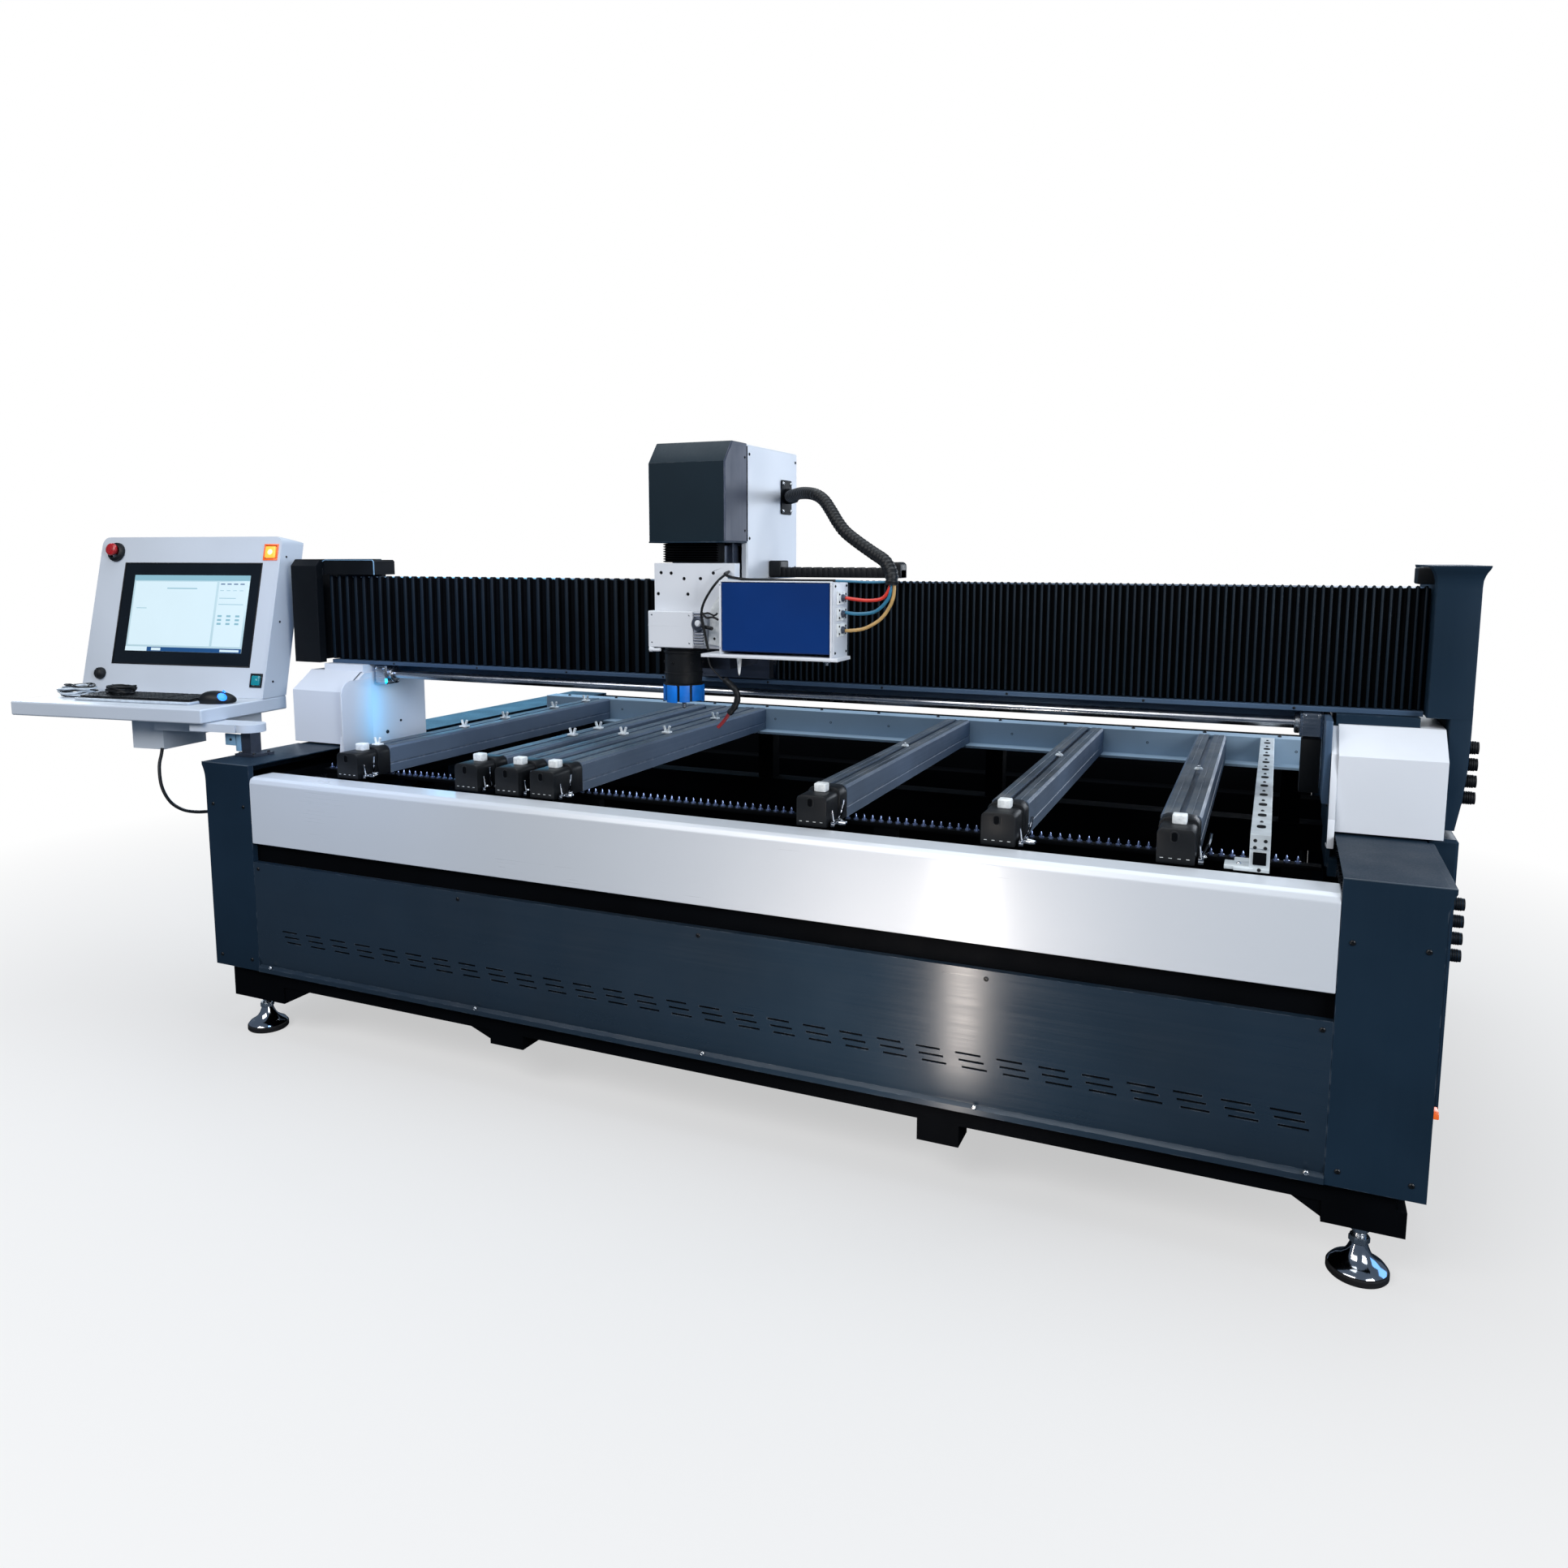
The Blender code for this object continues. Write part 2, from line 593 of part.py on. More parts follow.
blade = ((0.372, 0.885), (0.363, 0.822), (0.430, 0.812), (0.768, 0.812), (0.768, 1.085), (0.475, 1.085),
         (0.395, 1.030))
cover_outer = ((COVER_Y[0], COVER_Z[0]), (COVER_Y[0], 1.030), (0.470, COVER_Z[1]), (COVER_Y[1], COVER_Z[1]),
               (COVER_Y[1], COVER_Z[0]))
cover_inner = ((COVER_Y[0] + SHEET, 0.800), (COVER_Y[0] + SHEET, 1.0285), (0.4712, COVER_Z[1] - SHEET),
               (COVER_Y[1] - SHEET, COVER_Z[1] - SHEET), (COVER_Y[1] - SHEET, 0.800))
for side in ("left", "right"):
    flip = side == "right"

    def across(low, high, flip=flip):
        return mirrored(low, high) if flip else (low, high)

    a, b = across(BLADE_X, BLADE_X + BLADE_T)
    leg = outline(f"gantry_leg_{side}", blade, "X", a, b, gantry, "slate")
    a, b = across(0.020, BLADE_X + 0.004)
    c, d = across(0.1705, BLADE_X + 0.004)
    e, f = across(BLADE_X, BLADE_X + 0.010)
    inner_blocks = [((a, LEG_Y[0], 0.875), (b, LEG_Y[1], BEAM_Z[0] - GAP)),
                    ((c, 0.460, 0.732), (d, 0.700, 0.773)),
                    ((e, 0.480, 0.750), (f, 0.690, 0.830))]
    combine(leg, boxes(f"leg_blocks_{side}", inner_blocks, gantry, None), "UNION", True)
    a, b = across(-0.030, BLADE_X - GAP)
    cover = outline(f"leg_cover_{side}", cover_outer, "X", a, b, gantry, "light")
    a, b = across(-0.030 + SHEET, BLADE_X + 0.050)
    combine(cover, outline(f"cover_room_{side}", cover_inner, "X", a, b, gantry, None), "DIFFERENCE")
    a, b = across(0.0195, BLADE_X + 0.050)
    top_hole = boxes(f"cover_hole_{side}", [((a, LEG_Y[0] - GAP, 1.05), (b, LEG_Y[1] + GAP, 1.12))], gantry,
                     None)
    combine(cover, top_hole, "DIFFERENCE")

end_profile = ((0.470, 1.114), (0.470, 1.420), (0.456, 1.440), (0.456, 1.453), (0.815, 1.453), (0.815, 1.440),
               (0.800, 1.420), (0.800, 1.114))
end_cover = outline("end_cover_right", end_profile, "X", 3.2895, 3.3850, gantry, "slate")
lower_part = ((0.452, 0.866), (0.462, 1.000), (0.471, 1.150), (0.799, 1.150), (0.799, 0.866))
combine(end_cover, outline("end_cover_lower", lower_part, "X", 3.3345, 3.3848, gantry, None))
combine(end_cover, boxes("end_cover_cap", [((3.2895, 0.456, 1.4405), (3.3945, 0.815, 1.4528))], gantry, None))
stop_block = ((0.500, 1.4110), (0.500, 1.4380), (0.510, 1.4480), (0.570, 1.4480), (0.570, 1.4110))
combine(end_cover, outline("end_cover_block", stop_block, "X", 3.2550, 3.2990, gantry, None))
for number in range(4):
    gland = round_bar(f"cover_gland_{number}", (3.392, 0.500, 0.935 + number * 0.038), "X", 0.014, 0.040,
                      gantry, None, 16)
    combine(end_cover, gland)

cap_profile = ((0.470, 1.114), (0.470, 1.440), (0.490, 1.462), (0.780, 1.462), (0.800, 1.440), (0.800, 1.114))
end_cap = outline("end_cover_left", cap_profile, "X", -0.100, 0.0130, gantry, "black")
cap_room = [((-0.080, 0.500, 1.05), (0.020, 0.780, 1.42))]
combine(end_cap, boxes("end_cap_room", cap_room, gantry, None), "DIFFERENCE")
cap_top = ((0.0060, 1.4110), (0.0220, 1.4560), (0.0300, 1.4600), (0.2300, 1.4600), (0.2360, 1.4540),
           (0.2360, 1.4110))
combine(end_cap, outline("end_cap_top", cap_top, "Y", 0.500, 0.600, gantry, None))

round_bar("sync_shaft", (BASE_L / 2, SHAFT_Y, SHAFT_Z), "X", SHAFT_R, 2.880, shaft, "steel", 20)
for side, x in zip(("left", "right"), BEARING_X):
    bearing = boxes(f"shaft_bearing_{side}", [((x - 0.025, SHAFT_Y - 0.035, 1.046),
                                               (x + 0.025, SHAFT_Y + 0.035, BEAM_Z[0] - GAP))], gantry, "steel")
    soften(bearing, 0.006, 1)
    bore = round_bar(f"bearing_bore_{side}", (x, SHAFT_Y, SHAFT_Z), "X", SHAFT_R + 0.001, 0.2, gantry, None, 20)
    combine(bearing, bore, "DIFFERENCE")

# ---------------------------------------------------------------- carriage
saddle_blocks = [((HEAD_X[0] + 0.002, 0.482, 1.130), (HEAD_X[1] - 0.002, 0.512, 1.4095))]
for x in (1.470, 1.600):
    for z in (1.155, 1.335):
        saddle_blocks.append(((x, 0.508, z), (x + 0.060, 0.5400, z + 0.040)))
saddle_blocks.append(((1.490, 0.262, 1.270), (1.640, 0.490, 1.500)))
saddle_blocks.append(((1.492, 0.305, 1.172), (1.638, 0.490, 1.280)))
saddle_blocks.append(((1.480, 0.300, 1.409), (1.650, 0.3335, 1.5075)))
welded("saddle", saddle_blocks, carriage, "bar_grey")

head_box = boxes("head_box", [((HEAD_X[0], HEAD_Y[1] + GAP, 1.410), (HEAD_X[1], HEAD_Y[2], 1.765))], carriage,
                 "light")
soften(head_box, 0.004, 1)
room = [((1.470, 0.300, 1.300), (1.660, 0.640, 1.560))]
combine(head_box, boxes("head_room", room, carriage, None), "DIFFERENCE")

hood = ((HEAD_Y[0], HEAD_Z[0]), (HEAD_Y[0], HEAD_Z[1]), (HEAD_Y[0] + 0.045, HEAD_Z[2]), (HEAD_Y[1], HEAD_Z[2]),
        (HEAD_Y[1], HEAD_Z[0]))
head_cover = outline("head_cover", hood, "X", HEAD_X[0], HEAD_X[1], carriage, "slate")
soften(head_cover, 0.003, 1)
hood_room = ((HEAD_Y[0] + 0.012, 1.45), (HEAD_Y[0] + 0.012, 1.700), (0.255, 1.745), (0.322, 1.745),
             (0.322, 1.45))
combine(head_cover, outline("hood_room", hood_room, "X", HEAD_X[0] + 0.010, HEAD_X[1] - 0.010, carriage, None),
        "DIFFERENCE")

welded("cable_trough", [
    ((HEAD_X[1] + GAP, 0.478, 1.415), (2.057, 0.526, 1.443)),
    ((HEAD_X[1] + GAP, 0.472, 1.415), (1.7130, 0.532, 1.461)),
    ((2.0300, 0.474, 1.415), (2.0580, 0.530, 1.457)),
], carriage, "black")

folds = [(0.2600, 1.4560), (0.2600, 1.5070)]
for step in range(11):
    folds.append((0.212 + (0.012 if step % 2 else 0.0), 1.5070 - step * 0.0051))
outline("z_bellows", folds, "X", 1.492, 1.645, carriage, "cloth")

# ---------------------------------------------------------------- vertical slide
plate = welded("z_plate", [
    ((1.4700, 0.200, 1.235), (1.7040, 0.230, 1.4550)),
    ((1.5000, 0.228, 1.260), (1.5400, 0.2615, 1.440)),
    ((1.5900, 0.228, 1.260), (1.6300, 0.2615, 1.440)),
], spindle, "light")
for number, (x, z) in enumerate(((1.490, 1.430), (1.520, 1.429), (1.558, 1.415), (1.606, 1.4155),
                                 (1.643, 1.430), (1.6845, 1.4315), (1.481, 1.375), (1.569, 1.375))):
    screw_hole = round_bar(f"plate_hole_{number}", (x, 0.200, z), "Y", 0.0045, 0.016, spindle, None, 10)
    combine(plate, screw_hole, "DIFFERENCE")

clamp = boxes("spindle_clamp", [((1.4685, 0.165, 1.237), (1.6000, 0.1995, 1.3320))], spindle, "light")
soften(clamp, 0.002, 1)
combine(clamp, boxes("clamp_end", [((1.5980, 0.172, 1.245), (1.6280, 0.1995, 1.3300))], spindle, None))
body_profile = ((0.0, 1.2345), (SPINDLE_R, 1.2345), (SPINDLE_R, NOSE_Z + 0.018), (SPINDLE_R - 0.003, NOSE_Z + 0.0005),
                (0.0, NOSE_Z + 0.0005))
turned("spindle_body", body_profile, (SPINDLE_X, SPINDLE_Y, 0.0), spindle, "black", 32)
tool_profile = ((0.0, NOSE_Z), (0.022, NOSE_Z), (0.022, NOSE_Z - 0.028), (0.014, NOSE_Z - 0.036),
                (0.006, NOSE_Z - 0.036), (0.006, NOSE_Z - 0.066), (0.0, NOSE_Z - 0.070))
turned("spindle_tool", tool_profile, (SPINDLE_X, SPINDLE_Y, 0.0), chuck, "steel", 20)
skirt_profile = ((SKIRT_R, NOSE_Z), (SKIRT_R, SKIRT_Z), (SKIRT_R - 0.012, SKIRT_Z), (SKIRT_R - 0.012, NOSE_Z - 0.012),
                 (0.030, NOSE_Z - 0.012), (0.030, NOSE_Z), (SKIRT_R, NOSE_Z))
turned("dust_skirt", skirt_profile, (SPINDLE_X, SPINDLE_Y, 0.0), spindle, "skirt_blue", 32)

driver = boxes("driver_box", [((DRIVER_X[0], DRIVER_Y[0], DRIVER_Z[0]), (DRIVER_X[1], DRIVER_Y[1], DRIVER_Z[1]))],
               spindle, "blue")
soften(driver, 0.003, 1)
welded("driver_frame", [
    ((1.7045, DRIVER_Y[1] + GAP, 1.2260), (2.0045, 0.2155, 1.4100)),
    ((1.9995, 0.1080, 1.2260), (2.0045, 0.2100, 1.4120)),
    ((1.6550, 0.1050, 1.2225), (2.0200, 0.1960, 1.2305)),
    ((1.7045, 0.1900, 1.2226), (2.0045, 0.2155, 1.2304)),
], spindle, "light")

# ---------------------------------------------------------------- operator console
welded("console_post", [
    ((0.012, 0.130, CASING_TOP + 0.006), (0.052, 0.170, 0.9235)),
    ((0.004, 0.110, CASING_TOP + GAP), (0.084, 0.190, CASING_TOP + 0.008)),
], root, "bar_grey")

w = SHELF_W / 2
h = HOUSING_W / 2
pivot = Vector((POST_X - CONSOLE_X, POST_Y - CONSOLE_Y, 0.0))
pivot = Matrix.Rotation(-CONSOLE_YAW, 3, "Z") @ pivot
bracket = welded("console_bracket", [
    ((0.010, 0.100, -0.108), (0.135, 0.285, -GAP)),
    ((0.125, 0.075, -0.040), (0.330, 0.330, -GAP)),
    ((0.320, pivot.y - 0.045, -0.026), (pivot.x - 0.020, pivot.y + 0.045, -GAP)),
], desk, "light")
disc = round_bar("console_hub", (pivot.x, pivot.y, -0.0130), "Z", 0.046, 0.0250, desk, None, 24)
combine(bracket, disc)
shelf = outline("console_shelf", ((-w, 0.0), (w, 0.0), (w, SHELF_D), (-w, SHELF_D)), "Z", 0.0, SHELF_T, desk,
                "light")
soften(shelf, 0.004, 1)
side_shape = (
    (HOUSING_FRONT[0][0], SHELF_T + GAP),
    HOUSING_FRONT[0],
    HOUSING_FRONT[1],
    HOUSING_REAR[1],
    HOUSING_REAR[0],
    (HOUSING_REAR[0][0], SHELF_T + GAP),
)
housing = outline("console_housing", side_shape, "X", -h, h, desk, "light")
shoulder = HOUSING_FRONT[1][1] - HOUSING_CORNER
rim = [(-h, 0.0), (h, 0.0)]
for step in range(9):
    angle = math.pi * step / 16
    rim.append((h - HOUSING_CORNER + HOUSING_CORNER * math.cos(angle), shoulder + HOUSING_CORNER * math.sin(angle)))
rim += [(-x, z) for x, z in rim[:1:-1]]
combine(housing, outline("housing_rim", rim, "Y", 0.100, 0.700, desk, None), "INTERSECT")
soften(housing, 0.003, 2)
lean = math.atan2(HOUSING_FRONT[1][0] - HOUSING_FRONT[0][0], HOUSING_FRONT[1][1] - HOUSING_FRONT[0][1])
screen_mid = Vector((0.0, 0.0, 0.0))
screen_mid.y = (HOUSING_FRONT[0][0] + HOUSING_FRONT[1][0]) / 2
screen_mid.z = (HOUSING_FRONT[0][1] + HOUSING_FRONT[1][1]) / 2
tilt = Matrix.Rotation(-lean, 4, "X")


def on_face(obj, x, up, out):
    """Stand a piece, drawn facing -y, on the leaning front face of the housing."""
    obj.rotation_euler = (-lean, 0.0, 0.0)
    offset = tilt @ Vector((x, -out, up))
    obj.location = screen_mid + offset
    return obj


a, b = BEZEL_SIZE[0] / 2, BEZEL_SIZE[1] / 2
recess = boxes("screen_recess", [((-a, -0.012, -b), (a, 0.012, b))], desk, None, (0, 0, 0))
on_face(recess, BEZEL_AT[0], BEZEL_AT[1], 0.0)
combine(housing, recess, "DIFFERENCE")
a, b = a - GAP, b - GAP
screen = boxes("console_screen", [((-a, -0.0115, -b), (a, -0.0005, b))], desk, "black", (0, 0, 0))
on_face(screen, BEZEL_AT[0], BEZEL_AT[1], -0.012)

keys = boxes("keyboard", [((-0.200, 0.075, SHELF_T + GAP), (0.270, 0.215, SHELF_T + 0.018))], desk, "black")
soften(keys, 0.004, 1)


def knob(name, x, up, radius, proud, travel, key, square=False):
    """A push button standing in a pocket of the housing's face."""
    seat = travel + 0.001
    room = radius + 0.001
    for label, half, near, far, finish_key in (
        (name + "_pocket", room, -0.030, seat + 0.004, None),
        (name, radius, -proud, 0.004, key),
    ):
        if square:
            piece = boxes(label, [((-half, near, -half), (half, far, half))], desk, finish_key, (0, 0, 0))
        else:
            piece = round_bar(label, (0.0, 0.0, 0.0), "Y", half, far - near, desk, finish_key, 24)
            piece.data.transform(Matrix.Translation((0.0, (far + near) / 2, 0.0)))
        on_face(piece, x, up, 0.0)
        if finish_key is None:
            combine(housing, piece, "DIFFERENCE")


knob("emergency_stop", -0.318, 0.229, 0.021, 0.026, 0.006, "red")
knob("lamp_button", 0.344, 0.223, 0.021, 0.006, 0.003, "orange", True)
knob("start_button", 0.350, -0.221, 0.017, 0.005, 0.003, "teal", True)

switch = round_bar("power_switch", (3.3220, 0.250, 0.290), "X", 0.022, 0.0400, root, "orange", 24)
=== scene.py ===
"""Looks for the bridge-type CNC router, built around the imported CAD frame.

Lengths are in metres. Machine coordinates: X runs along the bed from the outer
face of the left casing, Y from the front face to the rear, Z up from the floor.
"""

import math
import random

import bmesh
import bpy
from mathutils import Matrix, Vector


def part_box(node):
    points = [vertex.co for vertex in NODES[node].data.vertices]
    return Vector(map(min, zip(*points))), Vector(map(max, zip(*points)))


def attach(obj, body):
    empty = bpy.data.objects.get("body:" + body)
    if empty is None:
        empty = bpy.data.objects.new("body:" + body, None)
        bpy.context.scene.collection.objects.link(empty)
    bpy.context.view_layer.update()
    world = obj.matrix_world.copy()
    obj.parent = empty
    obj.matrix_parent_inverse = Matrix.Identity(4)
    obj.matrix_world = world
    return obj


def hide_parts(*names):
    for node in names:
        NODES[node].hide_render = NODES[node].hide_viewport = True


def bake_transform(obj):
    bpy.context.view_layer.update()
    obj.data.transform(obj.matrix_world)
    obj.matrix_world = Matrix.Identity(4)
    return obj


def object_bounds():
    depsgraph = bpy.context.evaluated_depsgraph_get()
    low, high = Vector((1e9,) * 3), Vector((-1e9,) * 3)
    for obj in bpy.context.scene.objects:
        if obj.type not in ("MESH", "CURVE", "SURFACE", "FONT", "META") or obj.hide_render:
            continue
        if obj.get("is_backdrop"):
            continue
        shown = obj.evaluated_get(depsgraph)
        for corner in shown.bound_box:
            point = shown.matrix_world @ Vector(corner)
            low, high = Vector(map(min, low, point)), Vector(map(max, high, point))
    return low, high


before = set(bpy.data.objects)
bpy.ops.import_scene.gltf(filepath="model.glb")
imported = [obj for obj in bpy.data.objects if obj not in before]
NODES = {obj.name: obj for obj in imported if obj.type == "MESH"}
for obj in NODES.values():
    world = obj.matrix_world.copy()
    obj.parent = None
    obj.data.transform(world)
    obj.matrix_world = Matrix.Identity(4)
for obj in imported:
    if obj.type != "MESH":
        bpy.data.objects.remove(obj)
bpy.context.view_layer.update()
CABLE_SEED = 7
random.seed(CABLE_SEED)

CASING_WIDTH = 0.183
SOUTH, NORTH, WEST, EAST = (0, -1, 0), (0, 1, 0), (-1, 0, 0), (1, 0, 0)
UP, DOWN = (0, 0, 1), (0, 0, -1)
X0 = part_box("front_fascia")[0].x - CASING_WIDTH
Y0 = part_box("front_fascia")[0].y
BASE_LENGTH = 3.3
BASE_DEPTH = 2.0
MACHINE = Matrix.Translation((X0, Y0, 0.0))

# console axes: x across, y to the back, z up from the underside of the shelf
CONSOLE_AT = (-0.4685, 0.019, 0.95)
CONSOLE_YAW = math.radians(7.64)
DESK = MACHINE @ Matrix.Translation(CONSOLE_AT) @ Matrix.Rotation(CONSOLE_YAW, 4, "Z")
FACE_LOW, FACE_HIGH = (0.277, 0.05), (0.419, 0.589)
LEAN = math.atan2(FACE_HIGH[0] - FACE_LOW[0], FACE_HIGH[1] - FACE_LOW[1])
FACE_MID = (0.0, (FACE_LOW[0] + FACE_HIGH[0]) / 2, (FACE_LOW[1] + FACE_HIGH[1]) / 2)
FACE = DESK @ Matrix.Translation(FACE_MID) @ Matrix.Rotation(-LEAN, 4, "X")


# ---- materials
def feed(tree, made, inputs):
    """Fill a node's inputs, each with a value or with the output that drives it."""
    for key, value in inputs.items():
        socket = made.inputs[key]
        if isinstance(value, bpy.types.NodeSocket):
            tree.links.new(value, socket)
        else:
            socket.default_value = (*value, 1.0) if socket.type == "RGBA" else value
    return made


def node(tree, kind, inputs=None, **settings):
    """A new shader node with its settings and inputs."""
    made = tree.nodes.new("ShaderNode" + kind)
    for key, value in settings.items():
        setattr(made, key, value)
    return feed(tree, made, inputs or {})


def material(name, colour, rough, metal=0.0, spec=0.5, vary=0.1, scale=5.0, peel=0.04, peel_scale=420.0,
        brush=None, brush_amount=0.12, aniso=0.0, wear=0.0, wear_colour=(0.45, 0.46, 0.48), dust=0.0,
        coat=0.0, emit=None, emit_strength=0.0, tangent=EAST):
    """Painted or bare surface with colour drift, grain, orange peel, worn edges and dust."""
    mat = bpy.data.materials.new(name)
    mat.use_nodes = True
    tree = mat.node_tree
    coord = node(tree, "TexCoord").outputs["Object"]

    def noise(size, detail=3.0, source=coord):
        return node(tree, "TexNoise", {"Scale": size, "Detail": detail, "Vector": source}).outputs["Fac"]

    def ramp(value, low, high, out_low=0.0, out_high=1.0):
        limits = {"From Min": low, "From Max": high, "To Min": out_low, "To Max": out_high}
        return node(tree, "MapRange", {"Value": value, **limits}).outputs["Result"]

    def calc(kind, a, b):
        return node(tree, "Math", {0: a, 1: b}, operation=kind).outputs[0]

    def mix(factor, a, b):
        return node(tree, "Mix", {"Factor": factor, 6: a, 7: b}, data_type="RGBA").outputs[2]

    def normal():
        return node(tree, "NewGeometry").outputs["Normal"]

    drift = noise(scale, 4.0)
    dark = tuple(max(0.0, c * (1.0 - vary)) for c in colour)
    light = tuple(min(1.0, c * (1.0 + vary)) for c in colour)
    shade = mix(ramp(drift, 0.3, 0.7), dark, light)
    roughness = ramp(noise(scale * 3.1), 0.3, 0.7, rough * 0.9, rough * 1.12)
    if brush:
        stretch = node(tree, "Mapping", {"Scale": brush, "Vector": coord})
        grain = noise(1.0, 4.0, stretch.outputs["Vector"])
        roughness = calc("ADD", roughness, ramp(grain, 0.3, 0.7, -brush_amount * 0.5, brush_amount * 0.5))
        shade = mix(ramp(grain, 0.35, 0.65, 0.0, brush_amount), shade, light)
    if dust:
        upward = node(tree, "SeparateXYZ", {"Vector": normal()}).outputs["Z"]
        cover = calc("MULTIPLY", ramp(upward, 0.55, 0.95), ramp(noise(9.0, 5.0), 0.42, 0.72, 0.0, dust))
        shade = mix(cover, shade, (0.3, 0.29, 0.27))
        roughness = calc("ADD", roughness, ramp(cover, 0.0, 1.0, 0.0, 0.35))
    if wear:
        eased = node(tree, "Bevel", {"Radius": 0.003}, samples=4).outputs["Normal"]
        dot = node(tree, "VectorMath", {0: eased, 1: normal()}, operation="DOT_PRODUCT").outputs["Value"]
        worn = calc("MULTIPLY", ramp(dot, 0.995, 0.9), ramp(noise(38.0, 5.0), 0.48, 0.62, 0.0, wear))
        shade = mix(worn, shade, wear_colour)
    looks = {"Base Color": shade, "Roughness": roughness, "Metallic": metal, "Specular IOR Level": spec,
        "Coat Weight": coat, "Coat Roughness": 0.15}
    if peel:
        bump = {"Strength": peel, "Distance": 0.001, "Height": noise(peel_scale, 2.0)}
        looks["Normal"] = node(tree, "Bump", bump).outputs["Normal"]
    if aniso:
        looks["Anisotropic"] = aniso
        looks["Tangent"] = node(tree, "CombineXYZ", dict(enumerate(tangent))).outputs[0]
    if emit:
        looks["Emission Color"] = emit
        looks["Emission Strength"] = emit_strength
    feed(tree, tree.nodes["Principled BSDF"], looks)
    mat.diffuse_color = (*colour, 1.0)
    return mat


DARK_CHIPS = dict(wear=0.3, wear_colour=(0.2, 0.23, 0.27))
PALE_CHIPS = (0.3, 0.31, 0.33)
UPRIGHT = dict(vary=0.16, scale=3.0, peel=0.03, brush=(260.0, 260.0, 1.5), dust=0.02)
STRAND = dict(scale=50.0, peel=0.05)
LIT = dict(peel=0.0)
SMALL = dict(vary=0.15, scale=40.0)

SLATE = material("slate_paint", (0.01, 0.023, 0.04), 0.32, metal=0.1, spec=0.8, vary=0.16, scale=2.2,
    peel=0.01, brush=(1.5, 1.5, 260.0), brush_amount=0.07, aniso=0.7, dust=0.05, tangent=UP, **DARK_CHIPS)
SLATE_UP = material("slate_paint_upright", (0.0105, 0.0245, 0.043), 0.46, spec=0.12, metal=0.1,
    brush_amount=0.1, **UPRIGHT, **DARK_CHIPS)
HOOD = material("slate_paint_hood", (0.006, 0.017, 0.027), 0.5, metal=0.1, spec=0.18, brush_amount=0.06,
    wear=0.35, wear_colour=(0.3, 0.3, 0.32), **UPRIGHT)
# lighter copy of the hood paint for the faces turned to +X, with brighter worn edges: painted light where
# the hood catches the light from the right
HOOD_SIDE_PAINTED_LIGHT = material("slate_paint_hood_side_painted_light", (0.04, 0.05, 0.08), 0.45, metal=0.2, spec=0.3,
    brush_amount=0.06, wear=0.5, wear_colour=(0.55, 0.5, 0.5), **UPRIGHT)
LIGHT = material("light_paint", (0.7, 0.725, 0.77), 0.36, spec=0.45, vary=0.035, scale=1.8, peel=0.035,
    wear=0.25, wear_colour=PALE_CHIPS, dust=0.08)
FASCIA = material("light_paint_fascia", (0.66, 0.69, 0.73), 0.32, metal=0.1, spec=0.6, vary=0.03, scale=1.4,
    peel=0.02, brush=(1.2, 1.2, 220.0), brush_amount=0.07, aniso=0.6, wear=0.2, wear_colour=PALE_CHIPS,
    tangent=UP)
CONSOLE_GREY = material("console_paint", (0.6, 0.64, 0.69), 0.42, spec=0.45, vary=0.04, scale=3.0, peel=0.1,
    peel_scale=700.0, wear=0.2, wear_colour=(0.25, 0.26, 0.28))
BLACK = material("black_paint", (0.003, 0.0042, 0.0058), 0.52, spec=0.15, vary=0.3, scale=6.0, peel=0.06,
    wear=0.25, wear_colour=(0.05, 0.05, 0.055), dust=0.1)
# darker copy of the black paint for interior and recessed parts: painted shade
BLACK_IN_SHADE = material("black_painted_shade", (0.001, 0.0014, 0.0022), 0.7, spec=0.05, vary=0.3, scale=6.0, peel=0.06)
BLACK_PLASTIC = material("black_plastic", (0.006, 0.007, 0.0085), 0.45, spec=0.28, vary=0.2, peel=0.14,
    peel_scale=900.0, wear=0.2, wear_colour=(0.06, 0.06, 0.065))
RUBBER = material("black_rubber", (0.01, 0.01, 0.011), 0.78, spec=0.25, vary=0.25, scale=30.0, peel=0.25,
    peel_scale=500.0, dust=0.25)
CLOTH = material("bellows_cloth", (0.0007, 0.0011, 0.002), 0.7, spec=0.05, vary=0.35, scale=7.0, peel=0.3,
    peel_scale=1400.0, dust=0.06)
# lighter bluish copy of the bellows cloth for the pleat crests: a painted highlight
RIDGE_PAINTED_HIGHLIGHT = material("bellows_ridge_painted_highlight", (0.004, 0.01, 0.0175), 0.5, spec=0.16, vary=0.2, scale=9.0, peel=0.15,
    peel_scale=1400.0)
BAR = material("bar_anodised", (0.095, 0.13, 0.185), 0.55, metal=0.1, spec=0.25, vary=0.12, scale=4.0,
    peel=0.02, brush=(160.0, 1.4, 160.0), brush_amount=0.16, aniso=0.4, wear=0.4, dust=0.1)
RAIL = material("rail_anodised", (0.29, 0.4, 0.51), 0.5, metal=0.1, spec=0.35, scale=4.0, peel=0.02,
    brush=(1.4, 160.0, 160.0), wear=0.3, dust=0.05)
BAR_TOP = material("bar_top_anodised", (0.062, 0.083, 0.108), 0.5, metal=0.2, spec=0.3, vary=0.18, scale=7.0,
    peel=0.05, brush=(160.0, 1.4, 160.0), brush_amount=0.25, dust=0.3)
STEEL = material("ground_steel", (0.5, 0.52, 0.56), 0.24, metal=1.0, vary=0.12, scale=9.0, peel=0.02,
    brush=(2.0, 180.0, 180.0), brush_amount=0.16, dust=0.08)
DARK_STEEL = material("dark_steel", (0.1, 0.115, 0.15), 0.36, metal=0.9, vary=0.2, scale=12.0,
    brush=(2.0, 140.0, 140.0), brush_amount=0.15)
